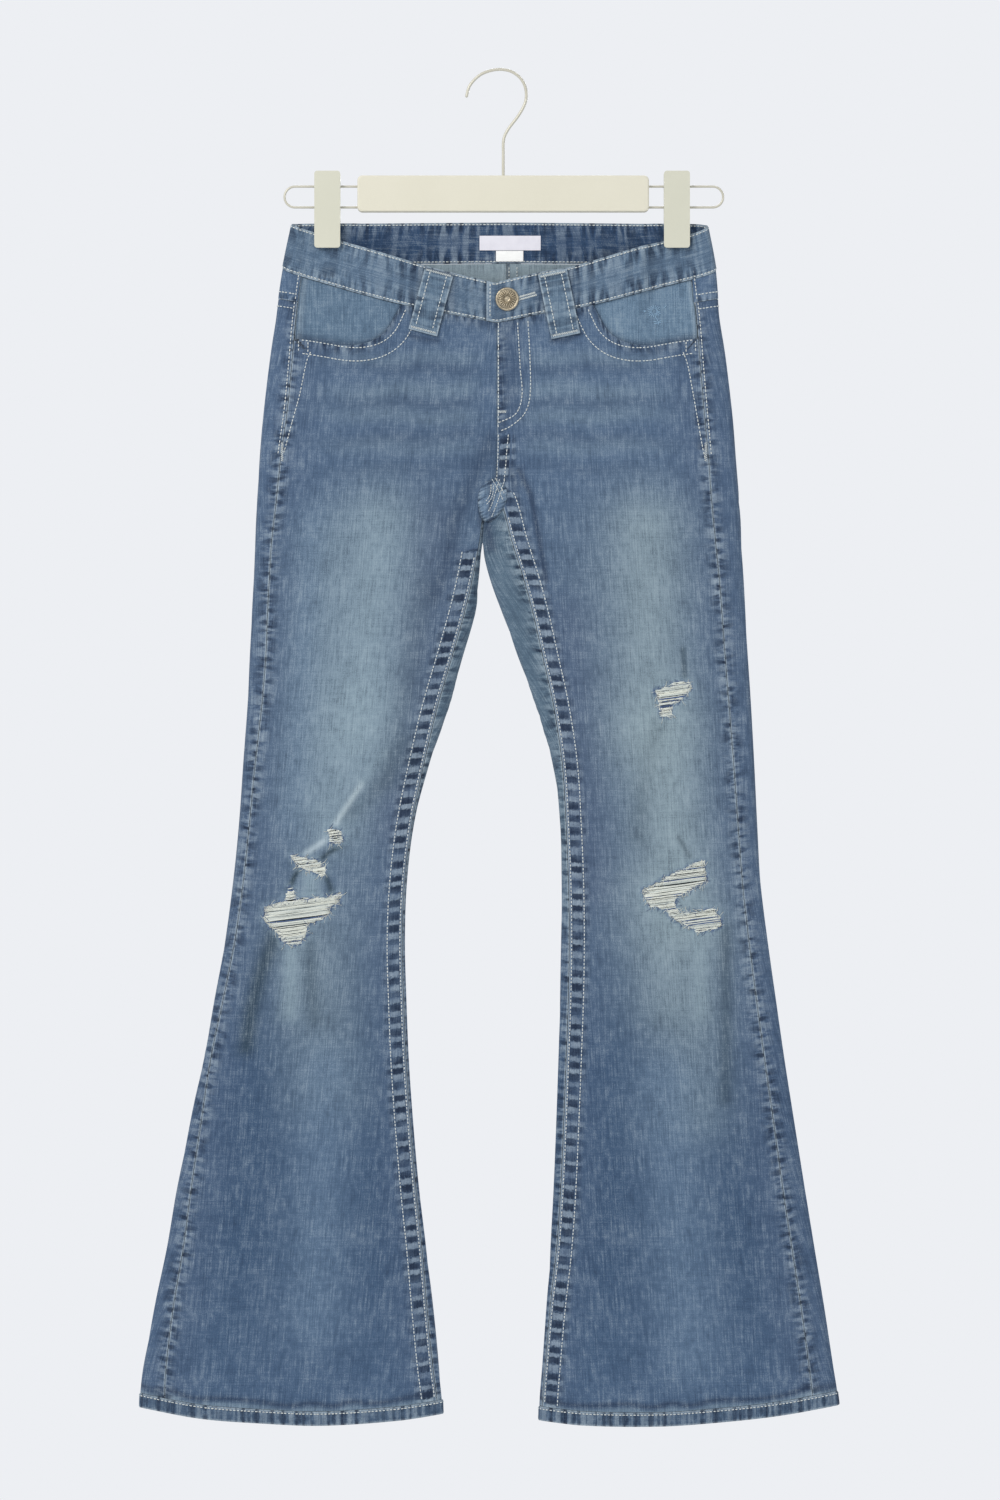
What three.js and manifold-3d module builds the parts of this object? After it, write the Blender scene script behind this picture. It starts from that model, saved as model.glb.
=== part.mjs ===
import * as THREE from "three";
import { mergeVertices } from "three/addons/utils/BufferGeometryUtils.js";
import Module from "manifold-3d";

// Flared jeans hung by their waistband from a bar hanger with two sliding clips.
// Millimetres, +Z up. The front faces -Y and the wearer's right is on the -X side.
// The origin is the inside of the hook's top, where the hanger bears on its nail or rail.
// "down" is always the distance below that point, so z = -down.

const wasm = await Module();
wasm.setup();

// Cloth thicknesses and clearances
const CLOTH = 1.2;
const BAND = 2.4;
const HEM = 2.6;
const LOOP = 1.8;
const LINING = 1.0;
const LABEL = 0.8;
const SEAM_GAP = 0.3;
const LAY_GAP = 0.35;

// Landmarks of the garment
const CENTRE_FRONT = -3.8;
const CENTRE_BACK = 4.2;
const CROTCH = 356;
const CLOSING_START = 270;
const LEG_CLEARANCE = 0.95;
const HEM_HEIGHT = 12;
const OUTSEAM_HALF_GAP = 0.2;
const INSEAM_HALF_GAP = 0.25;

// Rows and columns of a leg panel's wall
const PANEL_MESH = { columns: 13, sideColumns: 3, hipRows: 8, legRows: 22, rowSpread: 1.3 };

// The section's squareness: small values give flat layers with round side folds
const FOLD_ROUNDNESS = 0.35;

// The two clips press the front and back bands together
const CLIP_CENTRE = { right: -148, left: 149 };
const PINCHED = 1.7;
const PINCH_FLAT = 17;
const PINCH_END = 28;
const PINCH_FADE = { from: 172, to: 250 };

// Half the distance between the front and back layers, front and back of the side folds
const DEPTHS = [
  { down: 125, front: 8, back: 6 },
  { down: 210, front: 8.5, back: 7 },
  { down: 300, front: 8.5, back: 8 },
  { down: 400, front: 7, back: 6.5 },
  { down: 560, front: 6, back: 5.5 },
  { down: 760, front: 5.2, back: 5 },
  { down: 960, front: 6, back: 5.5 },
  { down: 1155, front: 7.5, back: 7 },
];

// The legs as they hang: x of the outer and inner edges and of the two seams on the front
const RIGHT_LEG = [
  { down: 125, outer: -176.5, inner: -3.8, outseam: -163, inseam: -3.8 },
  { down: 168, outer: -185.4, inner: -3.8, outseam: -169.6, inseam: -3.8 },
  { down: 210, outer: -191.5, inner: -3.8, outseam: -174.7, inseam: -3.8 },
  { down: 250, outer: -196.9, inner: -3.8, outseam: -178.1, inseam: -3.8 },
  { down: 290, outer: -201.6, inner: -3.8, outseam: -182, inseam: -3.8 },
  { down: 330, outer: -205.2, inner: -3.8, outseam: -187.6, inseam: -3.8 },
  { down: 356, outer: -206.8, inner: -4.75, outseam: -190.2, inseam: -4.75 },
  { down: 377, outer: -207.8, inner: -13.7, outseam: -192.5, inseam: -15.4 },
  { down: 400, outer: -208.9, inner: -16.5, outseam: -195.2, inseam: -19 },
  { down: 430, outer: -210.3, inner: -19.8, outseam: -197.1, inseam: -24.5 },
  { down: 460, outer: -211.9, inner: -22.6, outseam: -198.6, inseam: -31.5 },
  { down: 500, outer: -213.7, inner: -34, outseam: -200.3, inseam: -42.7 },
  { down: 540, outer: -215.7, inner: -44.9, outseam: -203.6, inseam: -54.4 },
  { down: 590, outer: -219.1, inner: -62.2, outseam: -209.3, inseam: -66.3 },
  { down: 640, outer: -222.6, inner: -74.8, outseam: -214.1, inseam: -76.6 },
  { down: 690, outer: -227.7, inner: -80.9, outseam: -219.4, inseam: -82.6 },
  { down: 740, outer: -234.6, inner: -82.4, outseam: -226.6, inseam: -84.6 },
  { down: 790, outer: -243.5, inner: -81.2, outseam: -236.6, inseam: -83.4 },
  { down: 840, outer: -252.8, inner: -79.3, outseam: -247, inseam: -81.4 },
  { down: 890, outer: -263.4, inner: -75.9, outseam: -254.6, inseam: -78.1 },
  { down: 950, outer: -275.4, inner: -70.6, outseam: -263.6, inseam: -73.1 },
  { down: 1000, outer: -283.8, inner: -64.2, outseam: -270.2, inseam: -67.9 },
  { down: 1050, outer: -294.4, inner: -58.4, outseam: -278.6, inseam: -63.6 },
  { down: 1100, outer: -303.8, inner: -53.4, outseam: -284.7, inseam: -58.7 },
  { down: 1130, outer: -306.8, inner: -50.9, outseam: -286.3, inseam: -55 },
  { down: 1155, outer: -306.8, inner: -50.2, outseam: -286.6, inseam: -54.2 },
];

const LEFT_LEG = [
  { down: 125, outer: 173.2, inner: -3.8, outseam: 156, inseam: -3.8 },
  { down: 168, outer: 181.4, inner: -3.8, outseam: 160.6, inseam: -3.8 },
  { down: 210, outer: 185, inner: -3.8, outseam: 165.6, inseam: -3.8 },
  { down: 250, outer: 190.9, inner: -3.8, outseam: 168.7, inseam: -3.8 },
  { down: 290, outer: 195.8, inner: -3.8, outseam: 172.1, inseam: -3.8 },
  { down: 330, outer: 198.7, inner: -3.8, outseam: 175.7, inseam: -3.8 },
  { down: 356, outer: 200.8, inner: -2.85, outseam: 177.6, inseam: -2.85 },
  { down: 377, outer: 202.3, inner: -11.8, outseam: 179.4, inseam: 3 },
  { down: 400, outer: 203.7, inner: -14.4, outseam: 181.7, inseam: 8.9 },
  { down: 430, outer: 205.4, inner: -9.8, outseam: 184.7, inseam: 18.3 },
  { down: 460, outer: 207.2, inner: 0.9, outseam: 187.1, inseam: 26.6 },
  { down: 500, outer: 209.3, inner: 15.4, outseam: 190, inseam: 35.6 },
  { down: 540, outer: 211.6, inner: 29.8, outseam: 193.2, inseam: 44.4 },
  { down: 590, outer: 214.3, inner: 44.2, outseam: 197.2, inseam: 51.8 },
  { down: 640, outer: 216.8, inner: 50.4, outseam: 200.8, inseam: 55 },
  { down: 690, outer: 220, inner: 51.4, outseam: 204.6, inseam: 57 },
  { down: 740, outer: 226, inner: 50.8, outseam: 210.2, inseam: 57.6 },
  { down: 790, outer: 233, inner: 49.8, outseam: 216.6, inseam: 56.8 },
  { down: 840, outer: 240, inner: 48.7, outseam: 223.4, inseam: 55 },
  { down: 890, outer: 247.8, inner: 47.2, outseam: 230.6, inseam: 53.1 },
  { down: 950, outer: 257.4, inner: 44.8, outseam: 238.9, inseam: 50.4 },
  { down: 1000, outer: 265.4, inner: 41.9, outseam: 246.5, inseam: 47 },
  { down: 1050, outer: 273.6, inner: 38.7, outseam: 254.3, inseam: 41.6 },
  { down: 1100, outer: 281.2, inner: 35.2, outseam: 261, inseam: 37.4 },
  { down: 1130, outer: 285.8, inner: 32.9, outseam: 264.5, inseam: 35.2 },
  { down: 1155, outer: 286.4, inner: 32.4, outseam: 265.2, inseam: 34.8 },
];

// The waistband's top and bottom edges, from centre front (0) round the side (0.5) to centre back (1)
const WAIST = [
  { round: 0, topRight: 181, bottomRight: 214.4, topLeft: 180, bottomLeft: 214.4 },
  { round: 0.067, topRight: 171.9, bottomRight: 207.1, topLeft: 171, bottomLeft: 206.4 },
  { round: 0.112, topRight: 165.6, bottomRight: 202.3, topLeft: 166.8, bottomLeft: 202.6 },
  { round: 0.16, topRight: 158.2, bottomRight: 196.8, topLeft: 159.6, bottomLeft: 197 },
  { round: 0.218, topRight: 150.4, bottomRight: 189.4, topLeft: 151.4, bottomLeft: 189.6 },
  { round: 0.275, topRight: 143.8, bottomRight: 182.6, topLeft: 145.6, bottomLeft: 183.2 },
  { round: 0.35, topRight: 137, bottomRight: 175.8, topLeft: 139.9, bottomLeft: 177.2 },
  { round: 0.45, topRight: 131.6, bottomRight: 169.8, topLeft: 134.2, bottomLeft: 171.8 },
  { round: 0.5, topRight: 130.2, bottomRight: 167.6, topLeft: 131.8, bottomLeft: 169.4 },
  { round: 0.6, topRight: 129.8, bottomRight: 165.8, topLeft: 130.2, bottomLeft: 166.4 },
  { round: 0.75, topRight: 129.4, bottomRight: 164.6, topLeft: 129.6, bottomLeft: 164.8 },
  { round: 1, topRight: 128.4, bottomRight: 163.2, topLeft: 128.4, bottomLeft: 163.2 },
];

// How far beyond centre front each end of the band runs, as shares of the way round a half
const OVERLAP_END = 0.0152;
const UNDERLAP_END = 0.0337;
const LAP_OFFSET = 1.4;
const OVERLAP_RAMP = [0.036, 0.057];
const UNDERLAP_RAMP = [2 - 0.045, 2 - 0.018];

// How far down the waist seam runs near the fly and at the back
const WAIST_SEAM_FRONT = 210;
const WAIST_SEAM_BACK = 164;

// The hem's lower edge, from the leg's inner edge (0) across to its outer edge (1)
const HEM_EDGE = [
  { across: 0, right: 1141.2, left: 1146.7 },
  { across: 0.15, right: 1146.8, left: 1150.8 },
  { across: 0.4, right: 1150.9, left: 1151.6 },
  { across: 0.6, right: 1149, left: 1148.2 },
  { across: 0.8, right: 1145, left: 1142.6 },
  { across: 1, right: 1135.6, left: 1133.7 },
];

// The front pocket's mouth, measured outward from the centre front line
const POCKET_MOUTH = [
  { out: 80, down: 196 },
  { out: 85, down: 207 },
  { out: 92, down: 220.5 },
  { out: 102.6, down: 229.4 },
  { out: 116.5, down: 233.4 },
  { out: 131.5, down: 233.4 },
  { out: 149, down: 230.4 },
  { out: 169, down: 227.4 },
  { out: 200, down: 225 },
];

// The pocket facing: how far out it starts, and how far it reaches below the waist seam and the mouth
const FACING = { out: 74, below: 14, mouthLevel: 225 };

// The J-shaped edge of the fly facing
const FLY_EDGE = [
  { down: 210, x: 25.5 },
  { down: 246, x: 27.2 },
  { down: 274, x: 27 },
  { down: 290, x: 22.6 },
  { down: 301, x: 12 },
  { down: 305, x: 5 },
];

// The largest folds of the front: a soft trough along a line, deep in the middle and gone at its ends
const FOLDS = [
  { leg: "right", fromX: -9, fromDown: 312, toX: -57, toDown: 447, width: 15, depth: 2.2 },
  { leg: "right", fromX: -62, fromDown: 452, toX: -96, toDown: 560, width: 18, depth: -1.4 },
  { leg: "right", fromX: -150, fromDown: 600, toX: -104, toDown: 648, width: 14, depth: 1.4 },
  { leg: "right", fromX: -192, fromDown: 735, toX: -216, toDown: 800, width: 13, depth: 2 },
  { leg: "right", fromX: -170, fromDown: 748, toX: -182, toDown: 800, width: 13, depth: -1.6 },
  { leg: "left", fromX: 12, fromDown: 330, toX: 36, toDown: 440, width: 13, depth: 2 },
  { leg: "left", fromX: 150, fromDown: 440, toX: 156, toDown: 512, width: 13, depth: 1.8 },
  { leg: "left", fromX: 178, fromDown: 735, toX: 188, toDown: 850, width: 15, depth: 2 },
];

// Outlines of the worn-through rips, as x and down of their corners
const RIPS = {
  right: [
    [
      [-146.7, 644.6],
      [-135.9, 646],
      [-134.6, 654.2],
      [-138.6, 656.9],
      [-145.4, 655.5],
    ],
    [
      [-178.9, 666.4],
      [-167, 669],
      [-155.1, 671.5],
      [-149.4, 678.3],
      [-150.9, 684],
      [-163, 680],
      [-172.5, 676.6],
    ],
    [
      [-184, 705.5],
      [-179.3, 692.8],
      [-175.2, 703.8],
      [-149.4, 703],
      [-135.9, 698.7],
      [-137.3, 705.5],
      [-145.4, 711],
      [-145.4, 716.6],
      [-164.5, 725.9],
      [-165.8, 732.7],
      [-171.3, 742.1],
      [-183.3, 742.1],
      [-195.5, 728.5],
      [-201.6, 721.7],
      [-201.6, 711],
    ],
  ],
  left: [
    [
      [130.5, 526.2],
      [143.2, 524.5],
      [146.6, 519.4],
      [160.7, 520.2],
      [162.5, 524.5],
      [153.4, 533.8],
      [144.1, 538.9],
      [144.1, 547.8],
      [136.4, 548.7],
      [134.7, 542.3],
    ],
    [
      [119.1, 697],
      [146.6, 681.7],
      [171.3, 670.1],
      [174.7, 688.5],
      [153.8, 699.6],
      [146.9, 703.8],
      [148.6, 714],
      [153.8, 717],
      [179.8, 711.8],
      [186.6, 719.6],
      [186.6, 726.5],
      [167.9, 731.9],
      [146.9, 721.3],
      [139.8, 712.6],
      [124.4, 708.9],
    ],
  ],
};

// Belt loops on the front slant outward; those on the back stand upright
const LOOP_WIDTH = 25;
const LOOP_STEP = { from: 2, to: 9 };
const FRONT_LOOPS = [
  { name: "belt_loop_front_right", topX: -52.8, topDown: 170.6, bottomX: -66.8, bottomDown: 223 },
  { name: "belt_loop_front_left", topX: 43.2, topDown: 171.6, bottomX: 54.6, bottomDown: 226 },
];
const BACK_LOOPS = [
  { name: "belt_loop_back_right", x: -104, top: 130.4, bottom: 184 },
  { name: "belt_loop_back_centre", x: 4.2, top: 129.2, bottom: 183 },
  { name: "belt_loop_back_left", x: 110, top: 130.4, bottom: 184 },
];

// Back yoke and back pockets
const YOKE_SIDE = 194;
const YOKE_CENTRE = 224;
const YOKE_START = 180;
const BACK_POCKET = { out: 84, top: 240, width: 116, height: 124, corner: 22, lean: 3 };

// Waist label and size tab, inside the back band
const WAIST_LABEL = { fromX: -18.7, toX: 33.3, top: 139.8, bottom: 152.2 };
const SIZE_TAB = { fromX: -4.7, toX: 18.5, top: 152.6, bottom: 161.6 };

// Zip tape behind the fly
const ZIP = { fromX: -12, toX: 9, bottom: 294, gap: 0.5 };

// Button
const BUTTON = { x: 4.8, down: 194.7, radius: 9.9, height: 3.2 };

// Hanger
const BAR = { fromX: -122.4, toX: 125.2, top: 89.2, bottom: 120.1, depth: 12, corner: 3, bevel: 1.2 };
const WIRE = { radius: 1, upper: 98.3, lower: 116, socket: 15, hole: 1.4, sides: 8 };
const WIRE_REACH = { right: -185.4, left: 189.4 };
const CLIP = { width: 22, top: 85.3, bottom: 150.6, plate: 3.5, jaw: 3.3, corner: 2.5 };
const PIVOT = { width: 14, top: 90, bottom: 122 };
const HOOK = { radius: 1.25, sides: 10, socket: 12, hole: 1.65 };
const HOOK_LINE = [
  { x: -30, down: 22.5 },
  { x: -27, down: 12.5 },
  { x: -18.5, down: 3.6 },
  { x: -9, down: -0.3 },
  { x: 0, down: -1.25 },
  { x: 9, down: 0.8 },
  { x: 16.6, down: 6.8 },
  { x: 20.6, down: 15.5 },
  { x: 20.4, down: 26 },
  { x: 15, down: 37 },
  { x: 5.4, down: 50 },
  { x: 1.9, down: 58 },
  { x: 1.5, down: 70 },
];

// Colours and finishes
const FINISH = {
  denim: { color: 0x66829b, roughness: 0.9, metalness: 0 },
  darkDenim: { color: 0x4a6079, roughness: 0.9, metalness: 0 },
  tape: { color: 0x2e3a48, roughness: 0.8, metalness: 0 },
  label: { color: 0x2f4560, roughness: 0.7, metalness: 0 },
  tab: { color: 0xe8e8e4, roughness: 0.7, metalness: 0 },
  button: { color: 0x8d8a80, roughness: 0.4, metalness: 0.9 },
  plastic: { color: 0xe2e0ce, roughness: 0.5, metalness: 0 },
  steel: { color: 0xc9c9c2, roughness: 0.35, metalness: 0.9 },
};

const SIDES = {
  right: { rows: RIGHT_LEG, sign: -1, top: "topRight", bottom: "bottomRight", hem: "right" },
  left: { rows: LEFT_LEG, sign: 1, top: "topLeft", bottom: "bottomLeft", hem: "left" },
};

const mix = (a, b, share) => a + (b - a) * share;

function smooth(from, to, value) {
  const share = Math.min(1, Math.max(0, (value - from) / (to - from)));
  return share * share * (3 - 2 * share);
}

// A table column read as a smooth curve: cubic pieces whose slopes join the rows on either side
function read(rows, key, name, at) {
  const last = rows.length - 1;
  let low = 0;
  while (low < last - 1 && rows[low + 1][key] < at) low += 1;
  const slope = (row) => {
    const before = rows[Math.max(0, row - 1)];
    const after = rows[Math.min(last, row + 1)];
    return (after[name] - before[name]) / (after[key] - before[key]);
  };
  const span = rows[low + 1][key] - rows[low][key];
  const s = Math.min(1, Math.max(0, (at - rows[low][key]) / span));
  const a = rows[low][name];
  const b = rows[low + 1][name];
  const cubic = s * s * (3 - 2 * s);
  const leave = s * (1 - s) * (1 - s) * span * slope(low);
  const arrive = s * s * (s - 1) * span * slope(low + 1);
  return a + (b - a) * cubic + leave + arrive;
}

// 0 where the two halves share one open ring, 1 from the crotch down where each leg is a closed ring
const closing = (down) => smooth(CLOSING_START, CROTCH, down);

function innerEdge(side, down) {
  if (down >= CROTCH) return read(side.rows, "down", "inner", down);
  return CENTRE_FRONT + side.sign * mix(SEAM_GAP / 2, LEG_CLEARANCE, closing(down));
}

// x on the cloth's middle surface, at a share of the way round the half or the leg
function across(side, round, down) {
  const closed = closing(down);
  const edge = innerEdge(side, down);
  const width = read(side.rows, "down", "outer", down) - edge;
  const angle = Math.PI * round;
  const share = mix(Math.sin(angle), (1 - Math.cos(2 * angle)) / 2, closed);
  const back = Math.max(0, -Math.cos(angle)) ** 2 * (1 - closed);
  return edge + width * share + (CENTRE_BACK - CENTRE_FRONT) * back;
}

// Flat layers with round folds: cosine over its own length with the sine part made small
const squared = (c, s) => c / Math.hypot(c, FOLD_ROUNDNESS * s);

function foldDepth(side, x, down) {
  let depth = 0;
  for (const fold of FOLDS) {
    if (SIDES[fold.leg] !== side) continue;
    const runX = fold.toX - fold.fromX;
    const runDown = fold.toDown - fold.fromDown;
    const length = Math.hypot(runX, runDown);
    const along = ((x - fold.fromX) * runX + (down - fold.fromDown) * runDown) / length / length;
    if (along <= 0 || along >= 1) continue;
    const aside = ((x - fold.fromX) * runDown - (down - fold.fromDown) * runX) / length;
    depth += fold.depth * Math.sin(Math.PI * along) ** 2 * Math.exp(-((aside / fold.width) ** 2));
  }
  return depth;
}

function pinch(side, x, down) {
  const centre = side === SIDES.right ? CLIP_CENTRE.right : CLIP_CENTRE.left;
  const room = Math.abs(read(side.rows, "down", "outer", down) - centre);
  const aside = 1 - smooth(PINCH_FLAT, Math.min(PINCH_END, room), Math.abs(x - centre));
  return aside * (1 - smooth(PINCH_FADE.from, PINCH_FADE.to, down));
}

// A point of the cloth's middle surface
function middle(side, round, down) {
  const closed = closing(down);
  const x = across(side, round, down);
  const angle = Math.PI * round;
  const open = squared(Math.cos(angle), Math.sin(angle));
  const shut = squared(Math.sin(2 * angle), Math.cos(2 * angle));
  const front = mix(open, shut, closed);
  const depth = read(DEPTHS, "down", front > 0 ? "front" : "back", down);
  let y = -depth * front;
  y = mix(y, -Math.sign(front) * PINCHED, pinch(side, x, down));
  if (front > 0) y += foldDepth(side, x, down) * Math.min(1, front * 1.5);
  return new THREE.Vector3(x, y, -down);
}

// The same point moved out of the cloth by an offset along the surface's normal
function surface(side, round, down, offset) {
  const step = 0.002;
  const rise = 0.8;
  const around = middle(side, round + step, down).sub(middle(side, round - step, down));
  const along = middle(side, round, down + rise).sub(middle(side, round, down - rise));
  const normal = around.cross(along).normalize().multiplyScalar(-side.sign);
  return middle(side, round, down).addScaledVector(normal, offset);
}

// The share of the way round at which the front, or the back, layer passes an x
function roundAt(side, x, down, back = false) {
  let near = back ? 1 : 0;
  let far = 0.5;
  for (let pass = 0; pass < 32; pass += 1) {
    const half = (near + far) / 2;
    if (side.sign * (across(side, half, down) - x) < 0) near = half;
    else far = half;
  }
  return (near + far) / 2;
}

const sideOf = (x, centre) => (x < centre ? SIDES.right : SIDES.left);

function frontPoint(x, down, offset) {
  const side = sideOf(x, CENTRE_FRONT);
  return surface(side, roundAt(side, x, down), down, offset);
}

function backPoint(x, down, offset) {
  const side = sideOf(x, CENTRE_BACK);
  return surface(side, roundAt(side, x, down, true), down, offset);
}

// A share of the way round, moved along the surface by a distance in millimetres
function nudge(side, round, down, distance) {
  const step = 0.002;
  const speed = middle(side, round + step, down).distanceTo(middle(side, round - step, down)) / (2 * step);
  return round + distance / speed;
}

// Half the gap along the inseam, which fades out above the crotch where the halves part
const inseamGap = (down) => INSEAM_HALF_GAP * smooth(CROTCH - 30, CROTCH - 5, down);

const outseamAt = (side, down) => roundAt(side, read(side.rows, "down", "outseam", down), down);

function inseamAt(side, down) {
  if (down <= CROTCH) return 0;
  return roundAt(side, read(side.rows, "down", "inseam", down), down);
}

const waistTop = (side, round) => read(WAIST, "round", side.top, round);
const waistSeam = (side, round) => read(WAIST, "round", side.bottom, round) + SEAM_GAP;

function hemEdge(side, round) {
  return read(HEM_EDGE, "across", side.hem, (1 - Math.cos(2 * Math.PI * round)) / 2);
}

const hemSeam = (side, round) => hemEdge(side, round) - HEM_HEIGHT - SEAM_GAP;

function mouth(x) {
  const out = Math.abs(x - CENTRE_FRONT);
  return out < POCKET_MOUTH[0].out ? 0 : read(POCKET_MOUTH, "out", "down", out);
}

// The front panel's upper edge: the waist seam, then the pocket's mouth
function frontTop(side, round) {
  const seam = waistSeam(side, round);
  return Math.max(seam, mouth(across(side, round, seam)));
}

const yokeSeam = (side, round) => mix(YOKE_CENTRE, YOKE_SIDE, Math.sin(Math.PI * round));
const backTop = (side, round) => yokeSeam(side, round) + SEAM_GAP;

// Turns points and faces into a mesh geometry whose faces look outward
function solidGeometry(points, faces) {
  const corner = (index) => new THREE.Vector3(...points.slice(index * 3, index * 3 + 3));
  let volume = 0;
  for (let face = 0; face < faces.length; face += 3) {
    const [a, b, c] = [corner(faces[face]), corner(faces[face + 1]), corner(faces[face + 2])];
    volume += a.dot(b.cross(c));
  }
  const outward = volume > 0 ? faces : [...faces].reverse();
  const geometry = new THREE.BufferGeometry();
  geometry.setAttribute("position", new THREE.Float32BufferAttribute(points, 3));
  geometry.setIndex(outward);
  return geometry;
}

// A wall between two offsets of a surface, closed round its edges, or a ring when it is round
function shell(at, columns, rows, inside, outside, ring = false) {
  const width = ring ? columns : columns + 1;
  const layer = width * (rows + 1);
  const points = [];
  for (const offset of [outside, inside]) {
    for (let row = 0; row <= rows; row += 1) {
      for (let column = 0; column < width; column += 1) {
        points.push(...at(column / columns, row / rows, offset));
      }
    }
  }
  const faces = [];
  const quad = (a, b, c, d) => faces.push(a, b, c, a, c, d);
  const index = (row, column) => row * width + (column % width);
  for (let row = 0; row < rows; row += 1) {
    for (let column = 0; column < columns; column += 1) {
      const a = index(row, column);
      const b = index(row, column + 1);
      const c = index(row + 1, column + 1);
      const d = index(row + 1, column);
      quad(a, b, c, d);
      quad(layer + a, layer + d, layer + c, layer + b);
    }
  }
  for (let column = 0; column < columns; column += 1) {
    const [a, b] = [index(0, column), index(0, column + 1)];
    const [d, c] = [index(rows, column), index(rows, column + 1)];
    quad(b, a, layer + a, layer + b);
    quad(d, c, layer + c, layer + d);
  }
  for (let row = 0; row < rows && !ring; row += 1) {
    const [a, d] = [index(row, 0), index(row + 1, 0)];
    const [b, c] = [index(row, columns), index(row + 1, columns)];
    quad(a, d, layer + d, layer + a);
    quad(b, layer + b, layer + c, c);
  }
  return solidGeometry(points, faces);
}

// Rows of a leg panel: even from its top edge to the crotch, then wider apart down to the hem
function rowDown(top, hipRows, legRows) {
  const share = hipRows / (hipRows + legRows);
  return (side, round, v) => {
    if (v <= share) return mix(top(side, round), CROTCH, v / share);
    return mix(CROTCH, hemSeam(side, round), ((v - share) / (1 - share)) ** PANEL_MESH.rowSpread);
  };
}

// Where a row of a panel meets a seam, which itself runs slanting across the rows
function seamOnRow(side, seam, downOf, v) {
  let round = seam(side, downOf(side, 0.25, v));
  for (let pass = 0; pass < 6; pass += 1) round = seam(side, downOf(side, round, v));
  return round;
}

function frontPanel(side) {
  const { columns, hipRows, legRows } = PANEL_MESH;
  const downOf = rowDown(frontTop, hipRows, legRows);
  const at = (u, v, offset) => {
    const inner = seamOnRow(side, inseamAt, downOf, v);
    const outer = seamOnRow(side, outseamAt, downOf, v);
    const innerDown = downOf(side, inner, v);
    const from = nudge(side, inner, innerDown, inseamGap(innerDown));
    const to = nudge(side, outer, downOf(side, outer, v), -OUTSEAM_HALF_GAP);
    const round = mix(from, to, u);
    return surface(side, round, downOf(side, round, v), offset);
  };
  return shell(at, columns, hipRows + legRows, -CLOTH / 2, CLOTH / 2);
}

function backPanel(side) {
  const { columns, sideColumns, hipRows, legRows } = PANEL_MESH;
  const downOf = rowDown(backTop, hipRows, legRows);
  const at = (u, v, offset) => {
    const inner = seamOnRow(side, inseamAt, downOf, v);
    const outer = seamOnRow(side, outseamAt, downOf, v);
    const innerDown = downOf(side, inner, v);
    const from = nudge(side, outer, downOf(side, outer, v), OUTSEAM_HALF_GAP);
    const to = 1 + nudge(side, inner, innerDown, -inseamGap(innerDown));
    const share = sideColumns / columns;
    const round = u < share ? mix(from, 0.5, u / share) : mix(0.5, to, (u - share) / (1 - share));
    return surface(side, round, downOf(side, round, v), offset);
  };
  return shell(at, columns, hipRows + legRows, -CLOTH / 2, CLOTH / 2);
}

function yoke(side) {
  const at = (u, v, offset) => {
    const outer = outseamAt(side, YOKE_START);
    const share = 0.2;
    const start = nudge(side, outer, YOKE_START, OUTSEAM_HALF_GAP);
    const round = u < share ? mix(start, 0.5, u / share) : mix(0.5, 1, (u - share) / (1 - share));
    return surface(side, round, mix(waistSeam(side, round), yokeSeam(side, round), v), offset);
  };
  return shell(at, 13, 2, -CLOTH / 2, CLOTH / 2);
}

// The waistband: one strip from the overlap's end, round the left half, the back and the right half
function waistband() {
  const at = (u, v, offset) => {
    const way = mix(-OVERLAP_END, 2 + UNDERLAP_END, u);
    const onLeft = (way >= 0 && way <= 1) || way > 2;
    const side = onLeft ? SIDES.left : SIDES.right;
    const round = way < 0 ? -way : way > 2 ? way - 2 : way > 1 ? 2 - way : way;
    const over = LAP_OFFSET * (1 - smooth(...OVERLAP_RAMP, way));
    const under = LAP_OFFSET * smooth(...UNDERLAP_RAMP, way);
    const bottom = waistSeam(side, round) - SEAM_GAP;
    return surface(side, round, mix(waistTop(side, round), bottom, v), offset + over - under);
  };
  return shell(at, 88, 1, -BAND / 2, BAND / 2);
}

function pocketFacing(side) {
  const { out, below, mouthLevel } = FACING;
  const offsetMiddle = -(CLOTH / 2 + LAY_GAP + LINING / 2);
  const at = (u, v, offset) => {
    const from = roundAt(side, CENTRE_FRONT + side.sign * out, WAIST_SEAM_FRONT);
    const low = (round) => below + Math.max(waistSeam(side, round), mouth(across(side, round, mouthLevel)));
    const downOf = (round) => mix(waistSeam(side, round), low(round), v);
    let to = outseamAt(side, downOf(0.4));
    to = nudge(side, outseamAt(side, downOf(to)), downOf(to), -SEAM_GAP);
    const round = mix(from, to, u);
    return surface(side, round, downOf(round), offset + offsetMiddle);
  };
  return shell(at, 12, 5, -LINING / 2, LINING / 2);
}

function hem(side) {
  const at = (u, v, offset) => {
    const low = hemEdge(side, u);
    return surface(side, u, mix(low - HEM_HEIGHT, low, v), offset);
  };
  return shell(at, 32, 1, -HEM / 2, HEM / 2, true);
}

function flyFacing() {
  const offsetMiddle = -(CLOTH / 2 + LAY_GAP + LINING / 2);
  const top = (x) => waistSeam(SIDES.left, roundAt(SIDES.left, x, WAIST_SEAM_FRONT)) + SEAM_GAP;
  const at = (u, v, offset) => {
    const low = FLY_EDGE[FLY_EDGE.length - 1].down;
    const guess = mix(FLY_EDGE[0].down, low, v);
    const x = mix(CENTRE_FRONT + 0.5, read(FLY_EDGE, "down", "x", guess), u);
    return frontPoint(x, mix(top(x), low, v), offset + offsetMiddle);
  };
  return shell(at, 4, 8, -LINING / 2, LINING / 2);
}

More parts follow.
